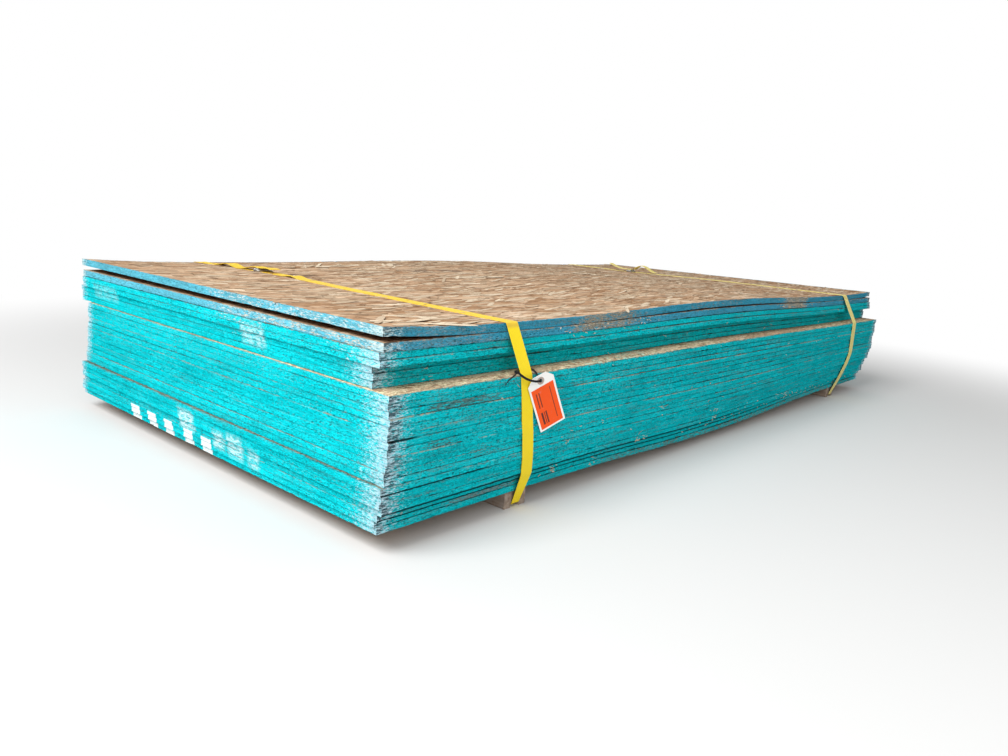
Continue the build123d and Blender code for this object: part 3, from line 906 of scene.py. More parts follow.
        fine = blotches(where, (120, 120, 460), 0.82, 1.7)
        sooty = blotches(graph.vector("ADD", where, (3.1, 1.7, 0.4)), (60, 60, 300), 0.8, 1.5)
        white = graph.between(graph.plus(graph.times(close, 0.42), fine), 0.66, 0.92)
        dark = graph.between(graph.plus(graph.times(close, 0.3), sooty), 0.66, 0.86)
        colour = graph.blend(graph.times(white, graph.blend_values(is_end, 0.78, 0.66)), colour, self.frost)
        return graph.blend(graph.times(dark, graph.blend_values(is_end, 0.9, 0.22)), colour, self.soot)

    def add_bars(self, point: BoardPoint, colour: Value, pit: Value) -> Socket:
        """White bars and faint patches sprayed on the near ends.

        Args:
            point: what is known of the point.
            colour: the colour so far.
            pit: the edge's pits, which the spray doesn't reach.

        Returns:
            The colour with the bars on it.
        """
        graph, where = point.graph, point.where
        _, y, z = graph.parts(where)
        slip = graph.times(graph.math("LESS_THAN", z, self.bar_step), -self.bar_slip)
        wobble = graph.times(graph.minus(graph.noise(where, (160, 160, 160), 2.0), 0.5), 0.004)
        shifted = graph.plus(y, slip, wobble)
        masks = []
        for bar in self.bars:
            soft = 0.0012 if bar.strength == 1.0 else 0.008
            half_height = (bar.high - bar.low) / 2
            beside = graph.math("ABSOLUTE", graph.minus(shifted, bar.middle))
            height = graph.math("ABSOLUTE", graph.minus(z, (bar.low + bar.high) / 2))
            inside = (graph.between(beside, bar.half + soft, bar.half - soft),
                      graph.between(height, half_height + soft, half_height - soft))
            masks.append(graph.times(*inside, bar.strength))
        sprayed = graph.most(*masks)
        spotty = graph.blend_values(self.spray_patches.mask(graph, where), 0.1, 1.4)
        faint = graph.times(sprayed, spotty)
        sprayed = graph.blend_values(graph.math("GREATER_THAN", sprayed, 0.7), faint, sprayed)
        at_near = graph.math("LESS_THAN", point.near, 0.002)
        sprayed = graph.times(sprayed, at_near, graph.minus(1.0, graph.times(pit, 0.35)), 0.96)
        return graph.blend(sprayed, colour, self.spray)


@dataclass(frozen=True)
class StrandFinish:
    """Loose and torn strands, each in its own shade."""

    name: str
    dark: Colour = (0.34, 0.215, 0.125)
    light: Colour = (0.86, 0.74, 0.56)
    streak: Colour = (0.12, 0.06, 0.03)

    def build(self) -> Material:
        """Make the material."""
        material, graph, surface = new_finish(self.name)
        tone = graph.attribute(TONE)
        where = graph.place_in_frame()
        grain = graph.noise(where, (60.0, 1100.0, 900.0), 3.0, 0.7)
        colour = graph.blend(tone, self.dark, self.light)
        darker = graph.blend(0.4, colour, self.streak)
        colour = graph.blend(graph.between(grain, 0.66, 0.36), colour, darker)
        surface(colour, 0.82, 0.0, Normal=graph.bump(grain, 0.0003, 0.7))
        return material


@dataclass(frozen=True)
class TimberFinish:
    """Rough sawn softwood, greyed, with grain along the runners."""

    name: str = "runner_timber"
    heart: Colour = (0.215, 0.155, 0.12)
    pale: Colour = (0.43, 0.335, 0.265)
    saw_mark: Colour = (0.14, 0.1, 0.08)
    dust: Colour = (0.36, 0.34, 0.32)

    def build(self) -> Material:
        """Make the material."""
        material, graph, surface = new_finish(self.name)
        where = graph.place_in_frame()
        rings = graph.noise(where, (120.0, 4.5, 120.0), 4.0, 0.6)
        saw = graph.noise(where, (40.0, 420.0, 60.0), 2.0)
        colour = graph.blend(graph.between(rings, 0.3, 0.72), self.heart, self.pale)
        colour = graph.tint(saw, 0.28, colour, self.saw_mark)
        dusty = graph.grime(where, 0.46, 26.0)
        colour = graph.tint(dusty, 0.6, colour, self.dust)
        height = graph.plus(rings, graph.times(saw, 0.5))
        surface(colour, 0.88, 0.1, Normal=graph.bump(height, 0.0012, 0.8))
        return material


@dataclass(frozen=True)
class WebbingFinish:
    """Woven strap with bound cords, dusty in use, with painted shade between the cords and on its top."""

    name: str
    cord: Colour
    # gap is painted shade between the cords
    gap: Colour
    dust: Colour = (0.42, 0.36, 0.2)
    faded: Colour = (0.92, 0.83, 0.45)
    worn: Colour = (0.7, 0.45, 0.06)   # painted shade on the strap's top
    top: tuple[float, float] = (0.366, 0.374)   # heights from which the painted shade on the top eases in and is full
    grimy: float = 0.24

    def build(self) -> Material:
        """Make the material."""
        material, graph, surface = new_finish(self.name)
        band = graph.add("UVMap", uv_map="UVMap").outputs[0]
        weave = graph.effect("weave", {"Band": band})
        where = graph.place_in_frame()
        # Painted shade between the cords
        colour = graph.blend(weave.outputs["Shade"], self.gap, self.cord)
        fade = graph.noise(where, (14.0, 14.0, 14.0), 3.0)
        colour = graph.tint(fade, 0.06, colour, self.faded)
        _, _, height = graph.parts(where)
        # Painted shade on the strap's top, in the colour called worn
        colour = graph.tint(graph.between(height, *self.top), 0.72, colour, self.worn)
        dusty = graph.grime(where, self.grimy, 60.0)
        colour = graph.tint(dusty, 0.3, colour, self.dust)
        surface(colour, 0.6, 0.12, Normal=graph.bump(weave.outputs["Height"], 0.0005, 0.8))
        return material


@dataclass(frozen=True)
class WireFinish:
    """Galvanised steel wire with a dull spangle."""

    name: str = "galvanised_wire"
    zinc: Colour = (0.46, 0.45, 0.43)
    dull: Colour = (0.24, 0.23, 0.21)
    dirt: Colour = (0.2, 0.17, 0.14)

    def build(self) -> Material:
        """Make the material."""
        material, graph, surface = new_finish(self.name)
        where = graph.place_in_frame()
        spangle = graph.noise(where, (420.0, 420.0, 420.0), 3.0, 0.6)
        dirt = graph.grime(where, 0.36, 130.0)
        colour = graph.blend(dirt, graph.blend(spangle, self.dull, self.zinc), self.dirt)
        rough, metal = graph.blend_values(spangle, 0.3, 0.58), graph.blend_values(dirt, 0.95, 0.35)
        surface(colour, rough, 0.5, Metallic=metal, Normal=graph.bump(spangle, 0.0003, 0.5))
        return material


@dataclass(frozen=True)
class CardFinish:
    """White tag card with a plain coloured label panel and a few ruled bars."""

    name: str = "tag_card_print"
    card: Colour = (0.84, 0.83, 0.8)
    panel: Colour = (0.84, 0.085, 0.008)
    ink: Colour = (0.04, 0.02, 0.018)
    scuffed: Colour = (0.5, 0.46, 0.42)
    # The panel and the bars as shares of the card: left, right, bottom and top
    panel_box: tuple[float, ...] = (0.065, 0.935, 0.03, 0.79)
    bars: tuple[tuple[float, ...], ...] = (
        (0.2, 0.27, 0.1, 0.33), (0.31, 0.335, 0.1, 0.33), (0.37, 0.42, 0.1, 0.33),
        (0.2, 0.235, 0.42, 0.7), (0.3, 0.335, 0.42, 0.7), (0.74, 0.765, 0.12, 0.72))

    def build(self) -> Material:
        """Make the material, on the card's own UV from 0 to 1."""
        material, graph, surface = new_finish(self.name)
        across, along, _ = graph.parts(graph.add("UVMap", uv_map="UVMap").outputs[0])
        where = graph.place_in_frame()

        def inside(box: Sequence[float]) -> Socket:
            """1 inside a box on the card."""
            left, right, bottom, top = box
            over = [graph.math("GREATER_THAN", at, low) for at, low in ((across, left), (along, bottom))]
            under = [graph.math("LESS_THAN", at, high) for at, high in ((across, right), (along, top))]
            return graph.least(*over, *under)

        panel = inside(self.panel_box)
        ink = graph.most(*(inside(bar) for bar in self.bars))
        fibre = graph.noise(where, (700.0, 700.0, 700.0), 2.0)
        colour = graph.blend(panel, self.card, self.panel)
        colour = graph.tint(ink, 0.92, colour, self.ink)
        scuff = graph.grime(where, 0.3, 90.0)
        colour = graph.tint(scuff, 0.35, colour, self.scuffed)
        surface(colour, graph.blend_values(panel, 0.66, 0.5), 0.2, Normal=graph.bump(fibre, 0.00012, 0.6))
        return material


@dataclass(frozen=True)
class PlainFinish:
    """A small part of one colour, mottled and a little dusty."""

    name: str
    colour: Colour
    dust: Colour
    roughness: float
    fineness: float

    def build(self) -> Material:
        """Make the material."""
        material, graph, surface = new_finish(self.name)
        where = graph.place_in_frame()
        mottle = graph.noise(where, (self.fineness,) * 3, 3.0, 0.6)
        dusty = graph.grime(where, 0.3, self.fineness / 3)
        colour = graph.tint(mottle, 0.3, self.colour, self.dust)
        colour = graph.tint(dusty, 0.4, colour, self.dust)
        surface(colour, self.roughness, 0.14, Normal=graph.bump(mottle, 0.0002, 0.5))
        return material


# Sheets


@dataclass(frozen=True)
class SheetPlace:
    """Where a sheet's node lies: its near front corner, turn, thickness and underside's heights."""

    corner: Vector
    turn: float
    thickness: float
    stations: np.ndarray
    front: np.ndarray
    back: np.ndarray

    @classmethod
    def of_node(cls, node: str, columns: int) -> "SheetPlace":
        """Measure a sheet's node.

        Args:
            node: its name.
            columns: how many stations to measure along it.

        Returns:
            Its place.
        """
        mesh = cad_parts[node].data
        points = [vertex.co.copy() for vertex in mesh.vertices]
        tree = BVHTree.FromPolygons(points, [tuple(face.vertices) for face in mesh.polygons])
        near_front = min(points, key=lambda point: point.x + point.y)
        far_front = max(points, key=lambda point: point.x - point.y)
        run = (far_front - near_front).to_2d().to_3d().normalized()
        side = Vector((-run.y, run.x, 0.0))
        corner = Vector((near_front.x, near_front.y, 0.0))
        inset = 1.5 * MM
        stations = np.linspace(0.0, SHEET_LENGTH, columns)
        heights = []
        for offset in (inset, SHEET_WIDTH - inset):
            row = []
            for station in stations:
                at = min(max(station, inset), SHEET_LENGTH - inset)
                start = corner + run * at + side * offset - Vector((0, 0, 1))
                row.append(tree.ray_cast(start, Vector((0, 0, 1)))[0].z)
            heights.append(np.array(row))
        above = corner + run * SHEET_LENGTH / 2 + side * inset + Vector((0, 0, 1))
        top = tree.ray_cast(above, Vector((0, 0, -1)))[0].z
        thickness = round(top - float(np.interp(SHEET_LENGTH / 2, stations, heights[0])), 5)
        return cls(corner, math.atan2(run.y, run.x), thickness, stations, heights[0], heights[1])

    def under(self, along: float, share: float) -> float:
        """Height of the underside at a distance along the sheet and a share of its width."""
        front = np.interp(along, self.stations, self.front)
        back = np.interp(along, self.stations, self.back)
        return float(front + (back - front) * share)

    def edge(self, x: float, share: float) -> Vector:
        """Point of the underside at an X of the frame and a share of the sheet's width."""
        along = (x - self.corner.x + share * SHEET_WIDTH * math.sin(self.turn)) / math.cos(self.turn)
        return self.at(along, share * SHEET_WIDTH, 0.0)

    def at(self, along: float, across: float, up: float) -> Vector:
        """Point of the frame at a place in the sheet."""
        run = Vector((math.cos(self.turn), math.sin(self.turn), 0.0))
        side = Vector((-run.y, run.x, 0.0))
        height = self.under(along, across / SHEET_WIDTH) + up
        return self.corner + run * along + side * across + Vector((0, 0, height))


@dataclass(frozen=True)
class SheetStack:
    """The sheets: one blank cut fine enough to be bowed and chipped, copied for each node."""

    side_cuts: tuple[int, int] = (20, 19)       # cuts along the length, made one after the other
    end_cuts: tuple[int, int] = (9, 20)
    rows: int = 3
    trim: float = 0.35 * MM         # the roughness then stays inside the solid
    roughness: float = 1.1 * MM
    chip: float = 1.3 * MM
    saw_pitch: float = 9 * MM
    chip_pitch: float = 22 * MM
    chip_bounds: tuple[float, float] = (0.6, 0.74)      # the noise where a chip starts and is full
    columns: int = 61
    # How bare of paint the upper arris of a sheet is, and how porous its edge, from 0 to 1
    bare_arris: tuple[tuple[int, float], ...] = (
        (25, 0.9), (23, 0.35), (19, 0.9), (17, 0.3), (16, 1.0), (14, 0.5), (11, 0.85), (9, 0.7), (7, 0.36),
        (5, 0.3), (3, 0.5), (2, 0.3))
    porous: tuple[tuple[int, float], ...] = (
        (26, 0.16), (25, 0.26), (24, 0.2), (23, 0.24), (22, 0.3), (21, 0.34), (20, 0.3), (19, 0.42),
        (18, 0.4), (16, 0.2), (15, 0.42), (12, 0.38), (9, 0.34), (5, 0.3))
    blue_from: int = 25
    seed: int = 11

    def blank(self, thickness: float) -> Piece:
        """Cut one flat sheet into strips along it, and its edges into small faces.

        Args:
            thickness: the sheet's thickness.

        Returns:
            The blank, with its near front lower corner at the origin.
        """
        size = (SHEET_LENGTH - 2 * self.trim, SHEET_WIDTH - 2 * self.trim, thickness)
        sheet = add_box("blank", (SHEET_LENGTH / 2, SHEET_WIDTH / 2, thickness / 2), size)
        middle = SHEET_LENGTH / 2

        def at_end(start: Vector, end: Vector) -> bool:
            """Whether an edge lies across the sheet at one of its ends."""
            return runs_along(Axis.Y)(start, end) and abs(abs(start.x - middle) - size[0] / 2) < MM

        with editing(sheet, Element.EDGE):
            for cuts in self.side_cuts:
                pick_edges(sheet, runs_along(Axis.X))
                bpy.ops.mesh.subdivide(number_cuts=cuts)
            for cuts in self.end_cuts:
                pick_edges(sheet, at_end)
                bpy.ops.mesh.subdivide(number_cuts=cuts, ngon=True)
            pick_edges(sheet, runs_along(Axis.Z))
            bpy.ops.mesh.subdivide(number_cuts=self.rows)
        self.store_places(sheet)
        return sheet

    def store_places(self, sheet: Piece) -> None:
        """Keep each point's place in the sheet, before anything bends it."""
        mesh = sheet.data
        places = np.empty(len(mesh.vertices) * 3)
        mesh.vertices.foreach_get("co", places)
        places = places.reshape(-1, 3)
        places[:, 0] = (places[:, 0] - self.trim) * SHEET_LENGTH / (SHEET_LENGTH - 2 * self.trim)
        places[:, 1] = (places[:, 1] - self.trim) * SHEET_WIDTH / (SHEET_WIDTH - 2 * self.trim)
        mesh.attributes.new(BOARD, "FLOAT_VECTOR", "POINT").data.foreach_set("vector", places.ravel())

    def bow(self, sheet: Piece, spot: SheetPlace) -> None:
        """Bow and lift a flat sheet with a lattice that follows its node's underside.

        Args:
            sheet: the flat copy.
            spot: the node's place.
        """
        deselect()
        bpy.ops.object.add(type="LATTICE", location=(SHEET_LENGTH / 2, SHEET_WIDTH / 2, spot.thickness / 2))
        lattice = bpy.context.object
        lattice.scale = (SHEET_LENGTH, SHEET_WIDTH, spot.thickness)
        cage = lattice.data
        cage.points_u, cage.points_v, cage.points_w = self.columns, 2, 2
        for way in ("u", "v", "w"):
            setattr(cage, f"interpolation_type_{way}", "KEY_LINEAR")
        for point in cage.points:
            along, share = (point.co.x + 0.5) * SHEET_LENGTH, point.co.y + 0.5
            point.co_deform.z = point.co.z + spot.under(along, share) / spot.thickness
        bpy.context.view_layer.update()
        apply_modifier(sheet, "LATTICE", object=lattice)
        bpy.data.objects.remove(lattice)

    def textures(self) -> tuple[bpy.types.Texture, bpy.types.Texture]:
        """The saw's roughness and the places of chips, as textures for the displacements."""
        saw = bpy.data.textures.new("saw_marks", "CLOUDS")
        saw.noise_scale, saw.noise_depth, saw.cloud_type = self.saw_pitch, 3, "COLOR"
        chips = bpy.data.textures.new("chips", "CLOUDS")
        chips.noise_scale, chips.noise_depth = self.chip_pitch, 2
        chips.use_color_ramp = True
        for element, position in zip(chips.color_ramp.elements, self.chip_bounds):
            element.position = position
        return saw, chips

    def build(self, teal: Material, blue: Material) -> dict[int, SheetPlace]:
        """Make every sheet.

        Args:
            teal: the finish of the lower sheets.
            blue: the finish of the highest ones.

        Returns:
            The place of each sheet by its number.
        """
        chance = random.Random(self.seed)
        blanks: dict[float, Piece] = {}
        saw, chips = self.textures()
        bare, porous = dict(self.bare_arris), dict(self.porous)
        spots = {}
        for node in sorted(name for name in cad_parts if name.startswith("panel_")):
            number = int(node[-2:])
            spot = spots[number] = SheetPlace.of_node(node, self.columns)
            if spot.thickness not in blanks:
                blanks[spot.thickness] = self.blank(spot.thickness)
            sheet = blanks[spot.thickness].copy()
            sheet.data = sheet.data.copy()
            sheet.name = f"sheet_{number:02d}"
            bpy.context.scene.collection.objects.link(sheet)
            self.bow(sheet, spot)
            sheet.location, sheet.rotation_euler.z = spot.corner, spot.turn
            bake_place(sheet)
            for texture, direction, strength, mid in (
                    (saw, "RGB_TO_XYZ", self.roughness, 0.5), (chips, "NORMAL", -self.chip, 0.0)):
                apply_modifier(sheet, "DISPLACE", texture=texture, texture_coords="GLOBAL",
                               direction=direction, strength=strength, mid_level=mid)
            tint, some_pores = chance.random(), 0.12 + 0.16 * chance.random()
            traits = (tint, porous.get(number, some_pores), bare.get(number, 0.12))
            count, attributes = len(sheet.data.vertices), sheet.data.attributes
            attributes.new(TRAITS, "FLOAT_VECTOR", "POINT").data.foreach_set("vector", np.tile(traits, count))
            attributes.new(NUMBER, "FLOAT", "POINT").data.foreach_set("value", np.full(count, float(number)))
            slot, finish = (BLUE_SLOT, blue) if number >= self.blue_from else (TEAL_SLOT, teal)
            finish_piece(sheet, finish, [node])
        for blank in blanks.values():
            bpy.data.objects.remove(blank)
        return spots


# Loose strands


@dataclass(frozen=True)
class StrandShape:
    """One shape of torn strand, modelled once and repeated."""

    length: float
    width: float
    thickness: float
    curl: float     # how far its ends stand up

    def model(self, chance: random.Random) -> tuple[np.ndarray, list[tuple[int, ...]]]:
        """Model the shape: a thin strip with torn ends, curled and a little twisted.

        Args:
            chance: where its uneven outline comes from.

        Returns:
            Its points, with its middle at the origin, and its faces.
        """
        strip = add_box("strand", (0, 0, 0), (self.length, self.width, self.thickness))
        with editing(strip, Element.EDGE):
            pick_edges(strip, runs_along(Axis.X))
            bpy.ops.mesh.subdivide(number_cuts=5)
        apply_modifier(strip, "SIMPLE_DEFORM", deform_method="TWIST", deform_axis="X",
                       angle=math.radians(chance.uniform(-14, 14)))
        half = self.length / 2
        for vertex in strip.data.vertices:
            share = vertex.co.x / half
            narrow = 1.0 - 0.55 * share ** 4 * chance.uniform(0.6, 1.2)
            vertex.co.y = vertex.co.y * narrow + 0.1 * self.width * math.sin(2.1 * share + self.curl * 900)
            vertex.co.x *= 1.0 + 0.07 * chance.uniform(-1, 1) * abs(share)
            vertex.co.z += self.curl * share ** 2 * (1.0 if share > 0 else 0.45)
        points = np.array([vertex.co[:] for vertex in strip.data.vertices])
        faces = [tuple(face.vertices) for face in strip.data.polygons]
        bpy.data.objects.remove(strip)
        return points, faces


@dataclass
class StrandPile:
    """Many strands that become one joined mesh."""

    name: str
    margin: float = 0.2 * MM

    def __post_init__(self) -> None:
        """Start with nothing in it."""
        self.points: list[np.ndarray] = []
        self.faces: list[tuple[int, ...]] = []
        self.tones: list[np.ndarray] = []
        self.count = 0

    def add(self, shape: tuple[np.ndarray, list[tuple[int, ...]]], where: Matrix, tone: float) -> None:
        """Add one copy of a shape.

        Args:
            shape: its points and faces.
            where: its place and turn.
            tone: its shade, from 0 to 1.
        """
        points, faces = shape
        turned = points @ np.array(where.to_3x3()).T + np.array(where.translation)
        self.points.append(turned)
        self.faces += [tuple(index + self.count for index in face) for face in faces]
        self.tones.append(np.full(len(points), tone))
        self.count += len(points)

    def join(self, slot: str, finish: Material) -> None:
        """Make one mesh of them, kept inside the solids' box.

        Args:
            slot: not used.
            finish: its material.
        """
        mesh = bpy.data.meshes.new(self.name)
        low, high = np.array(cad_box[0]) + self.margin, np.array(cad_box[1]) - self.margin
        inside = np.clip(np.concatenate(self.points), low, high)
        mesh.from_pydata(inside.tolist(), [], self.faces)
        mesh.attributes.new(TONE, "FLOAT", "POINT").data.foreach_set("value", np.concatenate(self.tones))
        piece = bpy.data.objects.new(self.name, mesh)
        bpy.context.scene.collection.objects.link(piece)
        finish_piece(piece, finish)


@dataclass(frozen=True)
class LooseStrands:
    """Strands that lie loose on the top, and slivers torn out of the sheets' edges."""

    seed: int = 5
    top_count: int = 1300
    stray_count: int = 60      # slivers at chance places of each side
    # Of the strands on the top: from the sheet's ends and sides, and the least in a heap
    margin: tuple[float, float] = (0.02, 0.015)
    heap_margin: float = 0.012
    # Of the slivers, in the frame: where strays may be along and up the stack, and the last root
    stray_reach: float = 1.2
    stray_heights: tuple[float, float] = (0.05, 0.37)
    root_reach: float = 1.19
    shapes: tuple[StrandShape, ...] = (
        StrandShape(0.105, 0.015, 0.6 * MM, 0.5 * MM), StrandShape(0.085, 0.01, 0.6 * MM, 1.0 * MM),
        StrandShape(0.07, 0.018, 0.5 * MM, 0.7 * MM), StrandShape(0.05, 0.007, 0.5 * MM, 1.6 * MM),
        StrandShape(0.12, 0.008, 0.6 * MM, 1.1 * MM), StrandShape(0.04, 0.012, 0.5 * MM, 2.2 * MM))
    slivers: tuple[StrandShape, ...] = (
        StrandShape(0.008, 0.0012, 0.4 * MM, 0.8 * MM), StrandShape(0.012, 0.0013, 0.4 * MM, 1.4 * MM),
        StrandShape(0.006, 0.002, 0.5 * MM, 0.5 * MM), StrandShape(0.017, 0.0009, 0.4 * MM, 2.0 * MM))
    # Heaps of loose pieces seen on the top: X, Y, spread and count, in millimetres
    heaps: tuple[tuple[float, float, float, int], ...] = (
        (692, 1092, 40, 7), (881, 1088, 55, 9), (886, 712, 60, 12), (1613, 689, 45, 8), (1893, 584, 35, 5),
        (577, 1095, 35, 4), (120, 70, 60, 9), (1554, 760, 20, 3))
    # Torn places on the front: X, height, spread along and count, in millimetres
    tears: tuple[tuple[float, float, float, int], ...] = (
        (801, 78, 26, 12), (1163, 64, 22, 6), (1696, 70, 40, 12), (2228, 68, 50, 14), (1149, 96, 18, 4),
        (871, 142, 22, 3), (126, 293, 10, 4), (483, 122, 14, 5), (471, 62, 22, 12), (618, 52, 20, 9),
        (560, 352, 90, 22), (760, 356, 60, 12), (1620, 366, 90, 20), (1750, 360, 80, 16), (1300, 60, 260, 26),
        (1900, 62, 320, 40))

    def build(self, spots: dict[int, SheetPlace], finish: Material) -> None:
        """Make the strands on the top and the slivers on the edges.

        Args:
            spots: the place of each sheet.
            finish: the strands' material.
        """
        chance = random.Random(self.seed)
        self.on_top(spots[max(spots)], finish, chance)
        self.on_edges(spots, finish, chance)

    def on_top(self, spot: SheetPlace, finish: Material, chance: random.Random) -> None:
        """Strew strands over the highest sheet, most of them along it."""
        models = [shape.model(chance) for shape in self.shapes]
        pile = StrandPile("loose_strands")
        end, side = self.margin
        seats = [(chance.uniform(end, SHEET_LENGTH - end), chance.uniform(side, SHEET_WIDTH - side), 0.0)
                 for _ in range(self.top_count)]
        for x, y, spread, count in self.heaps:
            middle = place(x, y, 0) - spot.corner
            seats += [(middle.x + chance.gauss(0, spread * MM), middle.y + chance.gauss(0, spread * MM * 0.5),
                       chance.uniform(0.0, 2.2) * MM) for _ in range(count)]
        for along, across, lift in seats:
            number = chance.randrange(len(models))
            half = self.shapes[number].length / 2
            along = min(max(along, half), SHEET_LENGTH - half)
            across = min(max(across, self.heap_margin), SHEET_WIDTH - self.heap_margin)
            turn = chance.gauss(0, 13) + (chance.choice((0, 0, 0, 40, -35)) if lift else 0)
            base = spot.at(along, across, spot.thickness + 0.15 * MM + lift)
            slope = spot.at(min(along + half, SHEET_LENGTH), across, 0).z - spot.at(along - half, across, 0).z
            pitch = -math.atan2(slope, 2 * half) - (chance.uniform(0.0, 0.05) if lift else 0.0)
            where = (Matrix.Translation(base) @ Matrix.Rotation(spot.turn + math.radians(turn), 4, "Z")
                     @ Matrix.Rotation(pitch, 4, "Y")
                     @ Matrix.Diagonal((chance.uniform(0.6, 1.1), chance.uniform(0.5, 1.2), 1, 1)))
            tone = chance.betavariate(5, 1.4) if lift else chance.betavariate(1.7, 2.0)
            pile.add(models[number], where, tone)
        pile.join(BLUE_SLOT, finish)

    def on_edges(self, spots: dict[int, SheetPlace], finish: Material, chance: random.Random) -> None:
        """Slivers that hang out of the front edge where it is torn, and along the other edges."""
        models = [shape.model(chance) for shape in self.slivers]
        pile = StrandPile("edge_slivers")
        for x, height, spread, count in self.tears:
            for _ in range(count):
                at = (x + chance.gauss(0, spread * 0.6)) * MM
                up = (height + chance.gauss(0, 4.5)) * MM
                self.add_sliver(pile, models, spots, at + SHEETS_CORNER.x, up, 0.0, chance)
        for _ in range(self.stray_count):
            for share in (0.0, 1.0):
                x = chance.uniform(-self.stray_reach, self.stray_reach)
                self.add_sliver(pile, models, spots, x, chance.uniform(*self.stray_heights), share, chance)
        pile.join(TEAL_SLOT, finish)

    def add_sliver(self, pile: StrandPile, models: list, spots: dict[int, SheetPlace], x: float,
                   height: float, share: float, chance: random.Random) -> None:
        """Add one sliver, rooted in the sheet at a height of the front or back side.

        Args:
            pile: what it goes into.
            models: the shapes to choose from.
            spots: the place of each sheet.
            x: its place along the stack, in the frame.
            height: how high it is rooted.
            share: 0 at the front and 1 at the back.
            chance: where its shape, turn and tone come from.
        """
        x = min(max(x, -self.root_reach), self.root_reach)
        spot = min(spots.values(), key=lambda spot: abs(spot.edge(x, share).z + spot.thickness / 2 - height))
        number = chance.randrange(len(models))
        outward = -1.0 if share < 0.5 else 1.0
        root = Vector((0, outward * 0.3 * MM, chance.uniform(0.08, 0.92) * spot.thickness))
        base = spot.edge(x, share) + root
        heading = chance.choice((0.0, math.pi)) + math.radians(chance.uniform(-24, 24))
        droop = math.radians(chance.uniform(-40, 25))
        where = (Matrix.Translation(base) @ Matrix.Rotation(heading, 4, "Z") @ Matrix.Rotation(droop, 4, "Y")
                 @ Matrix.Rotation(math.radians(90 + chance.uniform(-35, 35)), 4, "X")
                 @ Matrix.Diagonal((chance.uniform(0.5, 1.1), 1, 1, 1)))
        pile.add(models[number], where, chance.betavariate(3.5, 1.6))


# Straps


@dataclass(frozen=True)
class Ribbon:
    """A flat band of even thickness that follows a path."""

    name: str
    thickness: float
    columns: int
    rows: int
    cup: float = 0.0    # how far the middle stands off its edges
    step: float = 1.5 * MM      # how far off the path is read for its direction

    def build(self, points: np.ndarray, across: np.ndarray) -> Piece:
        """Model the band from a grid laid along the path.

        Args:
            points: the middle of the band, point by point.
            across: from the middle to one edge at each point.

        Returns:
            The closed band, with UV in metres across and along it.
        """
        steps = np.linalg.norm(np.diff(points, axis=0), axis=1)
        reach = np.concatenate(([0.0], np.cumsum(steps)))
        deselect()
        bpy.ops.mesh.primitive_grid_add(x_subdivisions=self.columns, y_subdivisions=self.rows, size=1)
        band = bpy.context.object
        band.name = self.name
        mesh = band.data
        flat = np.array([vertex.co[:] for vertex in mesh.vertices])
        at = (flat[:, 1] + 0.5) * reach[-1]

        def sample(rows: np.ndarray, places: np.ndarray) -> np.ndarray:
            """Rows of the path at distances along it."""
            return np.stack([np.interp(places, reach, rows[:, part]) for part in range(3)], axis=1)

        middle, half = sample(points, at), sample(across, at)
        normal = np.cross(sample(points, at + self.step) - sample(points, at - self.step), half)
        normal /= np.linalg.norm(normal, axis=1)[:, None]
        share = flat[:, 0:1] * 2.0
        placed = middle + half * share + normal * self.cup * (1.0 - share ** 2)
        mesh.vertices.foreach_set("co", placed.ravel())
        widths = np.linalg.norm(half, axis=1)
        uv = mesh.uv_layers.active.data
        for loop in mesh.loops:
            index = loop.vertex_index
            uv[loop.index].uv = (float(share[index, 0] * widths[index]), float(at[index]))
        mesh.update()
        apply_modifier(band, "SOLIDIFY", thickness=self.thickness, offset=0.0)
        smooth(band, 40)
        return band


def densify(points: Sequence[Sequence[float]], spacing: float) -> np.ndarray:
    """Add points in line, so that none is further from the next than a spacing."""
    dense = [np.array(points[0], dtype=float)]
    for start, end in zip(points, points[1:]):
        start, end = np.array(start, dtype=float), np.array(end, dtype=float)
        count = max(1, math.ceil(np.linalg.norm(end[:3] - start[:3]) / spacing))
        dense += [start + (end - start) * share / count for share in range(1, count + 1)]
    return np.array(dense)


def relax(points: np.ndarray, rounds: int) -> np.ndarray:
    """Round a path off by moving each point towards the middle of its neighbours."""
    for _ in range(rounds):
        inner = (points[:-2] + 2 * points[1:-1] + points[2:]) / 4
        points = np.concatenate((points[:1], inner, points[-1:]))
    return points


def outline_hull(points: Sequence[tuple[float, float]]) -> list[tuple[float, float]]:
    """Corners of the tightest outline round a set of points, clockwise in Y and Z."""
    ordered = sorted(set(points))

    def half(run: Sequence[tuple[float, float]]) -> list[tuple[float, float]]:
        """One side of the outline."""
        chain: list[tuple[float, float]] = []
        for point in run:
            while len(chain) > 1:
                (ay, az), (by, bz) = chain[-2:]
                if (by - ay) * (point[1] - az) - (bz - az) * (point[0] - ay) > 1e-12:
                    break
                chain.pop()
            chain.append(point)
        return chain

    return (half(ordered)[:-1] + half(ordered[::-1])[:-1])[::-1]


Table = tuple[tuple[float, float], ...]


def along_table(table: Table, at: float) -> float:
    """Value at a place in a list of places and values, straight between them."""
    ordered = sorted(table)
    return float(np.interp(at, [pair[0] for pair in ordered], [pair[1] for pair in ordered]))


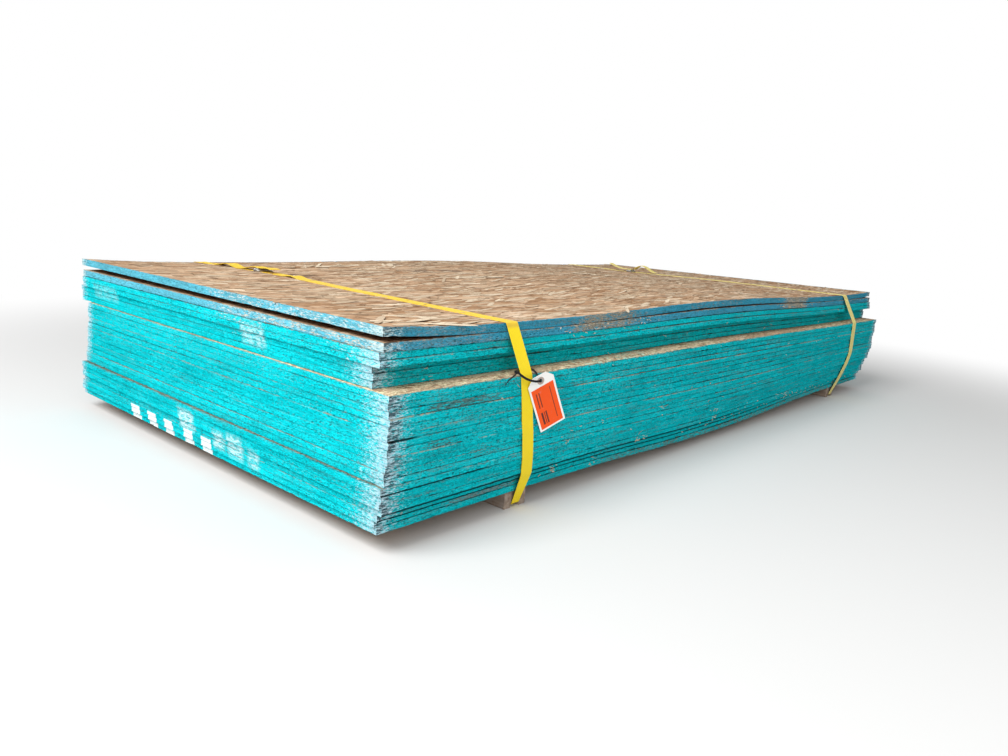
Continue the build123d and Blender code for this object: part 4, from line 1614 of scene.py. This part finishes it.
@dataclass(frozen=True)
class Strap:
    """One strap: hooked in its buckle, down the back, under the runner, up the front and back.

    The tables are in millimetres, as the solids are drawn: down the front the height and how
    far the strap lies along X from its runner, over the top the share of the width and the
    same. A tail and the slack are distances from the buckle and heights of the middle line.
    """

    side: str
    runner_x: float
    front: Table
    top: Table
    buckle_share: float
    front_tail: Table
    back_tail: Table
    front_slack: Table = ()
    back_slack: Table = ()
    width: float = 32.0
    bunched: float = 22.0
    thickness: float = 1.0
    seat: float = 0.8       # the middle line off the sheets: the seat and half the thickness
    clearance: float = 0.45     # more of it down the sides, whose edges are rough
    play: float = 0.3       # under and over the band in its buckle
    prong_play: float = 0.25
    runner_inset: float = 6.0
    groove_depth: float = 8.0
    wire: float = 5.0
    buckle_along: float = 29.0
    prong_pitch: float = 10.0
    prong_rise: float = 3.5
    spacing: float = 1.6

    def ring(self, spots: dict[int, SheetPlace]) -> list[tuple[float, float]]:
        """Outline that the tight strap follows, in metres: corners of the sheets and the runner."""
        x = self.runner_x * MM + SHEETS_CORNER.x
        corners = []
        for spot in spots.values():
            for share in (0.0, 1.0):
                point = spot.edge(x, share)
                corners += [(point.y, point.z), (point.y, point.z + spot.thickness)]
        lowest = spots[min(spots)].edge(x, 0.0)
        start = lowest.y + self.runner_inset * MM
        end = start + SHEET_WIDTH - 2 * self.runner_inset * MM
        return outline_hull(corners + [(start, self.groove_depth * MM), (end, self.groove_depth * MM)])

    def hooked_end(self, tail: Table, side: int) -> list[tuple[float, float]]:
        """A strap end round its prong, from the tip of the tail to where it lies on the sheet.

        Args:
            tail: the free end past the prong.
            side: 1 at the back of the buckle and -1 at the front.

        Returns:
            Distances from the buckle's middle and heights, in millimetres.
        """
        frame_height = self.play + self.thickness + self.play + self.wire / 2
        prong, prong_height = self.prong_pitch / 2, frame_height + self.prong_rise
        reach = self.wire / 2 + self.seat + self.prong_play
        corner = reach / math.cos(math.pi / 8)
        points = list(reversed(tail))
        for turn in (3, 1, -1, -3):
            angle = turn * math.pi / 8
            points.append((prong - corner * math.cos(angle), prong_height + corner * math.sin(angle)))
        points.append((prong + self.wire * 0.3, prong_height - reach))
        points.append(((self.buckle_along - self.wire) / 2 - self.wire * 0.4, self.seat))
        return [(side * distance, height) for distance, height in points]

    def path(self, spots: dict[int, SheetPlace]) -> np.ndarray:
        """Stations of the strap's middle line and half its width, in metres.

        Args:
            spots: the place of each sheet.

        Returns:
            Rows of X, Y, Z and the three parts of the half width.
        """
        ring = self.ring(spots)
        middle = sum(y for y, _ in ring) / len(ring)
        front = max((point for point in ring if point[0] < middle), key=lambda point: point[1])
        back = max((point for point in ring if point[0] > middle), key=lambda point: point[1])
        turn = ring.index(back)
        ring = ring[turn:] + ring[:turn]
        lowest = min(z for _, z in ring)
        buckle_y = front[0] + (back[0] - front[0]) * self.buckle_share
        drift = [along_table(self.top, self.buckle_share + step) for step in (-0.01, 0.01)]
        lean = math.atan((drift[1] - drift[0]) * MM / (0.02 * (back[0] - front[0])))
        rows: list[tuple[float, ...]] = []

        def add(x: float, y: float, z: float, width: float, turned: float = 0.0) -> None:
            """Add one station."""
            half = width * MM / 2
            rows.append((self.runner_x * MM + x * MM + SHEETS_CORNER.x, y, z,
                         half * math.cos(turned), -half * math.sin(turned), 0.0))

        def add_top(y: float, height: float, turned: float = 0.0) -> None:
            """Add a station over the highest sheet, its height in millimetres."""
            share = (y - front[0]) / (back[0] - front[0])
            level = front[1] + (back[1] - front[1]) * share
            add(along_table(self.top, share), y, level + height * MM, self.width, turned)

        for distance, height in self.hooked_end(self.back_tail, 1):
            add_top(buckle_y + distance * MM, height, lean)
        for distance, height in self.back_slack:
            add_top(buckle_y + distance * MM, self.seat + height)
        off = (self.seat + self.clearance) * MM
        for before, corner, after in zip(ring[-1:] + ring[:-1], ring, ring[1:] + ring[:1]):
            y, z = corner
            width = self.width
            if z == lowest:
                x, width = 0.0, self.bunched
            elif y < (front[0] + back[0]) / 2:
                x = along_table(self.front, z / MM)
            else:
                x = along_table(self.top, 1.0) * (z - lowest) / (back[1] - lowest)
            arriving = Vector((y - before[0], z - before[1])).normalized()
            leaving = Vector((after[0] - y, after[1] - z)).normalized()
            mitre = (Vector((-arriving.y, arriving.x)) + Vector((-leaving.y, leaving.x))).normalized()
            reach = off / mitre.dot(Vector((-arriving.y, arriving.x)))
            add(x, y + mitre.x * reach, z + mitre.y * reach, width)
        for share in (0.05, 0.15, 0.3, 0.45):
            add_top(front[0] + (back[0] - front[0]) * share, self.seat)
        for distance, height in reversed(self.front_slack):
            add_top(buckle_y - distance * MM, self.seat + height)
        for distance, height in reversed(self.hooked_end(self.front_tail, -1)):
            add_top(buckle_y + distance * MM, height, lean)
        return np.array(rows)

    def build(self, spots: dict[int, SheetPlace], finish: Material) -> None:
        """Make the strap in place of its solid.

        Args:
            spots: the place of each sheet.
            finish: its woven material.
        """
        rows = relax(densify(self.path(spots), self.spacing * MM), rounds=3)
        ribbon = Ribbon(f"webbing_{self.side}", self.thickness * MM, columns=8, rows=1900, cup=0.35 * MM)
        band = ribbon.build(rows[:, :3], rows[:, 3:])
        finish_piece(band, finish, [f"strap_{self.side}"])


# Tag and tie


@dataclass(frozen=True)
class Tag:
    """Card tag with clipped upper corners and a hole, curved a little by the weather."""

    corner: tuple[float, float, float] = (330.5, -6.5, 269.0)   # upper left, before it is clipped
    length: float = 120.6
    width: float = 60.3
    clip: float = 15.0
    thickness: float = 0.5
    hole: float = 8.0
    hole_inset: float = 13.0
    slope: float = 25.9     # turn in the card's own plane, degrees
    swing: float = 16.0
    lean: float = 7.7
    curve: float = 3.5      # bend of its lower part about its width, degrees over its whole length
    curve_start: float = 0.035

    def build(self, finish: Material) -> None:
        """Make the card in place of its solid.

        Args:
            finish: its printed material.
        """
        width, length = self.width * MM, self.length * MM
        deselect()
        bpy.ops.mesh.primitive_grid_add(
            x_subdivisions=20, y_subdivisions=40, size=1, location=(width / 2, -length / 2, 0))
        card = bpy.context.object
        card.name = "tag"
        card.scale = (width, length, 1)
        bake_place(card)
        with editing(card, Element.FACE):
            for x, inward in ((0.0, 1.0), (width, -1.0)):
                bpy.ops.mesh.select_all(action="SELECT")
                corner = (x + inward * self.clip * MM, 0, 0)
                bpy.ops.mesh.bisect(plane_co=corner, plane_no=(-inward, 1, 0), clear_outer=True)
        apply_modifier(card, "SOLIDIFY", thickness=self.thickness * MM, offset=1.0)
        deselect()
        centre, radius = (width / 2, -self.hole_inset * MM, 0), self.hole * MM / 2
        bpy.ops.mesh.primitive_cylinder_add(vertices=32, radius=radius, depth=0.01, location=centre)
        punch = bpy.context.object
        apply_modifier(card, "BOOLEAN", object=punch, operation="DIFFERENCE", solver="EXACT")
        bpy.data.objects.remove(punch)
        bend = math.radians(self.curve) / length
        for vertex in card.data.vertices:
            down = max(0.0, -vertex.co.y - self.curve_start)
            vertex.co.z += bend * down ** 2 / 2
        facing = Matrix(((1, 0, 0, 0), (0, 0, -1, 0), (0, 1, 0, 0), (0, 0, 0, 1)))
        turns = [Matrix.Rotation(math.radians(angle), 4, axis)
                 for angle, axis in ((-self.swing, "Z"), (self.lean, "X"), (self.slope, "Z"))]
        card.matrix_world = Matrix.Translation(place(*self.corner)) @ turns[0] @ turns[1] @ facing @ turns[2]
        bake_place(card)
        smooth(card, 30)
        finish_piece(card, finish, ["tag_card"])


@dataclass(frozen=True)
class Tie:
    """Cable tie from its head in front of the strap, through the tag and back behind the strap."""

    route: tuple[tuple[float, float, float], ...] = (
        (300.0, -10.5, 292.0), (308.0, -12.0, 285.5), (318.0, -13.5, 279.5), (331.0, -15.5, 274.0),
        (346.0, -19.0, 271.0), (357.5, -21.0, 271.5), (361.5, -19.5, 270.5), (363.5, -15.5, 270.6),
        (364.5, -9.5, 273.5), (362.5, -4.5, 282.5), (357.0, 0.5, 289.6), (350.0, 4.5, 290.2),
        (316.5, 4.5, 291.0), (308.5, 2.2, 291.6), (301.0, -3.0, 292.0))
    tail: tuple[tuple[float, float, float], ...] = (
        (299.5, -8.0, 290.0), (289.0, -10.5, 286.5), (280.0, -10.5, 282.5), (272.0, -10.0, 277.0),
        (268.5, -9.0, 270.5))
    width: float = 4.4
    thickness: float = 1.1
    head: tuple[float, float, float] = (7.0, 8.0, 5.5)

    def build(self, finish: Material) -> None:
        """Make the loop, the tail and the head in place of the solid.

        Args:
            finish: its material.
        """
        across = Vector((0.3, 0.0, 0.95)).normalized() * self.width * MM / 2
        parts = []
        for name, route, half in (("tie_loop", self.route, across), ("tie_tail", self.tail, across * 0.8)):
            points = relax(densify([place(*point)[:] for point in route], 1.2 * MM), rounds=14)
            ribbon = Ribbon(name, self.thickness * MM, columns=2, rows=150)
            parts.append(ribbon.build(points, np.tile(half[:], (len(points), 1))))
        middle = (Vector(self.route[0]) + Vector(self.route[-1])) / 2
        head = add_box("tie_head", place(*middle), [side * MM for side in self.head])
        apply_modifier(head, "BEVEL", width=1.1 * MM, segments=3)
        smooth(head, 35)
        for part in parts:
            part.select_set(True)
        bpy.ops.object.join()
        head.name = "tie"
        finish_piece(head, finish, ["cable_tie"])


# Studio


@dataclass(frozen=True)
class Studio:
    """Floor, light and the camera at the photograph's angle."""

    frame_size: tuple[int, int] = (1008, 756)
    focal_pixels: float = 778.217
    sensor: float = 36.0
    eye: tuple[float, float, float] = (-2.0011, -1.55211, 0.57532)
    yaw: float = 41.2301        # degrees from +X towards +Y
    pitch: float = -11.7416
    roll: float = 4.0434
    floor_radius: float = 12.0
    floor_fade: tuple[float, float] = (1.5, 3.0)    # distances where it starts and ends
    floor_colour: Colour = (0.65, 0.65, 0.645)
    sky: float = 0.48
    aim: tuple[float, float, float] = (0.0, 0.0, 0.2)
    key_power: float = 285.0
    key_size: float = 3.0
    key_at: tuple[float, float, float] = (-3.9, -0.4, 3.7)
    fill_power: float = 46.0
    fill_size: float = 3.0
    fill_at: tuple[float, float, float] = (-2.4, -3.3, 1.9)

    def add_camera(self) -> None:
        """Place the camera."""
        yaw, pitch, roll = (math.radians(angle) for angle in (self.yaw, self.pitch, self.roll))
        ahead = Vector((math.cos(pitch) * math.cos(yaw), math.cos(pitch) * math.sin(yaw), math.sin(pitch)))
        right = ahead.cross(Vector((0, 0, 1))).normalized()
        up = right.cross(ahead)
        across = right * math.cos(roll) + up * math.sin(roll)
        upward = up * math.cos(roll) - right * math.sin(roll)
        data = bpy.data.cameras.new("camera")
        data.sensor_width = self.sensor
        data.lens = self.focal_pixels / self.frame_size[0] * self.sensor
        camera = bpy.data.objects.new("camera", data)
        bpy.context.scene.collection.objects.link(camera)
        turn = Matrix((across, upward, -ahead)).transposed().to_4x4()
        camera.matrix_world = Matrix.Translation(Vector(self.eye)) @ turn
        bpy.context.scene.camera = camera

    def add_floor(self) -> None:
        """Lay the pale floor, which fades to white at its rim."""
        deselect()
        bpy.ops.mesh.primitive_circle_add(vertices=96, radius=self.floor_radius, fill_type="NGON")
        floor = bpy.context.object
        floor.name = "floor"
        material, graph, surface = new_finish("floor")
        surface(self.floor_colour, 0.9, 0.2)
        where = graph.place_in_frame()
        distance = graph.add("VectorMath", {0: where}, operation="LENGTH").outputs["Value"]
        fade = graph.between(distance, *self.floor_fade)
        seen = graph.add("LightPath").outputs["Is Camera Ray"]
        glow = graph.add("Emission", {"Color": (1, 1, 1), "Strength": 1.0}).outputs[0]
        plain, output = (material.node_tree.nodes[name] for name in ("Principled BSDF", "Material Output"))
        mixed = graph.add("MixShader", {0: graph.times(fade, seen), 1: plain.outputs[0], 2: glow})
        graph.tree.links.new(mixed.outputs[0], output.inputs["Surface"])
        floor.data.materials.append(material)

    def add_light(self, name: str, power: float, size: float, at: Sequence[float]) -> None:
        """Hang one soft lamp that looks at the stack.

        Args:
            name: what it is called.
            power: in watts.
            size: side of its square.
            at: its place.
        """
        data = bpy.data.lights.new(name, "AREA")
        data.energy, data.size = power, size
        lamp = bpy.data.objects.new(name, data)
        lamp.location = at
        ahead = Vector(self.aim) - Vector(at)
        lamp.rotation_euler = ahead.to_track_quat("-Z", "Y").to_euler()
        bpy.context.scene.collection.objects.link(lamp)

    def add_sky(self) -> None:
        """Surround the scene with soft light, white where the camera and gloss see it."""
        world = bpy.data.worlds.new("studio")
        bpy.context.scene.world = world
        world.use_nodes = True
        graph = Graph(world.node_tree)
        path = graph.add("LightPath")
        seen = graph.most(*(path.outputs[f"Is {kind} Ray"] for kind in ("Camera", "Glossy", "Transmission")))
        strength = graph.blend_values(seen, self.sky, 1.0)
        background = world.node_tree.nodes["Background"]
        background.inputs["Color"].default_value = (1, 1, 1, 1)
        world.node_tree.links.new(strength, background.inputs["Strength"])

    def build(self) -> None:
        """Set up the whole studio."""
        self.add_camera()
        self.add_floor()
        self.add_sky()
        self.add_light("key", self.key_power, self.key_size, self.key_at)
        self.add_light("fill", self.fill_power, self.fill_size, self.fill_at)
        bpy.context.scene.view_settings.view_transform = "Standard"


# The two straps, as the solids are drawn
NEAR_STRAP = Strap(
    side="near", runner_x=NEAR_RUNNER_X,
    front=((376.0, -46.0), (340.0, -39.0), (283.0, -28.0), (185.0, -19.0), (50.0, 7.0), (0.0, 0.0)),
    top=((0.0, -46.0), (0.25, -32.0), (0.5, -19.0), (0.66, 0.0), (0.79, -2.0), (0.92, -22.0), (1.0, -42.0)),
    buckle_share=0.775,
    front_tail=((18.0, 11.0), (30.0, 12.5), (46.0, 13.0), (62.0, 11.0)),
    back_tail=((18.0, 11.5), (30.0, 11.0), (44.0, 7.5), (60.0, 4.5), (88.0, 2.5)),
    front_slack=((122.0, 0.0), (140.0, 2.6), (158.0, 4.0), (176.0, 2.6), (194.0, 0.0)),
    back_slack=((96.0, 0.0), (112.0, 3.0), (128.0, 7.5), (142.0, 8.5), (156.0, 6.5), (174.0, 2.4),
                (196.0, 0.0)))
FAR_STRAP = Strap(
    side="far", runner_x=FAR_RUNNER_X,
    front=((376.0, -3.0), (340.0, 6.0), (283.0, 22.0), (185.0, 30.0), (50.0, 16.0), (0.0, 0.0)),
    top=((0.0, -3.0), (0.25, 10.0), (0.45, 6.0), (0.6, -34.0), (0.68, -62.0), (0.76, -74.0), (1.0, -50.0)),
    buckle_share=0.72,
    front_tail=((18.0, 13.5), (28.0, 21.0), (40.0, 28.0), (52.0, 31.0), (66.0, 27.0), (82.0, 17.0),
                (98.0, 8.0), (112.0, 5.5)),
    back_tail=((18.0, 11.0), (34.0, 11.5), (52.0, 13.5), (70.0, 17.5), (88.0, 23.0), (104.0, 28.0)))


def main() -> None:
    """Build the studio, the effects and finishes, and every piece in its order."""
    logging.basicConfig(level=logging.INFO, format="%(message)s")
    Studio().build()
    for effect in (StrandEffect(), PoreEffect(), GrimeEffect(), WeaveEffect()):
        effect.build()
    teal = BoardFinish(
        name="teal_edge_board", thickness=12.7 * MM, end_paint_lit=(0.001, 0.63, 0.7),
        side_paint_shaded=(0.001, 0.57, 0.64), worn=0.1, frost=(0.66, 0.8, 0.9), barred=True).build()
    blue = BoardFinish(
        name="blue_edge_board", thickness=15.9 * MM, end_paint_lit=(0.13, 0.52, 0.68),
        side_paint_shaded=(0.055, 0.35, 0.54), worn=0.28, frost=(0.68, 0.78, 0.75), barred=False).build()
    spots = SheetStack().build(teal, blue)
    LooseStrands().build(spots, StrandFinish("torn_strands").build())
    # Each webbing's gap colour is painted shade between its cords, and its worn colour painted shade on its
    # top
    yellow = WebbingFinish("webbing_yellow", (0.99, 0.77, 0.01), (0.78, 0.54, 0.006))
    pale = WebbingFinish("webbing_pale", (0.86, 0.76, 0.28), (0.6, 0.5, 0.16), worn=(0.78, 0.66, 0.22))
    NEAR_STRAP.build(spots, yellow.build())
    FAR_STRAP.build(spots, pale.build())
    Tag().build(CardFinish().build())
    black, grey = (0.006, 0.006, 0.007), (0.04, 0.04, 0.042)
    nylon = PlainFinish("tie_nylon", black, grey, roughness=0.42, fineness=500.0)
    Tie().build(nylon.build())
    timber, wire = TimberFinish().build(), WireFinish().build()
    for side in ("near", "far"):
        dress_node(f"runner_{side}", timber)
        dress_node(f"buckle_{side}", wire)
    fibre = PlainFinish("fibre_ring", (0.4, 0.31, 0.27), (0.58, 0.55, 0.52), roughness=0.75, fineness=600.0)
    dress_node("tag_eyelet", fibre.build())


if __name__ == "__main__":
    main()
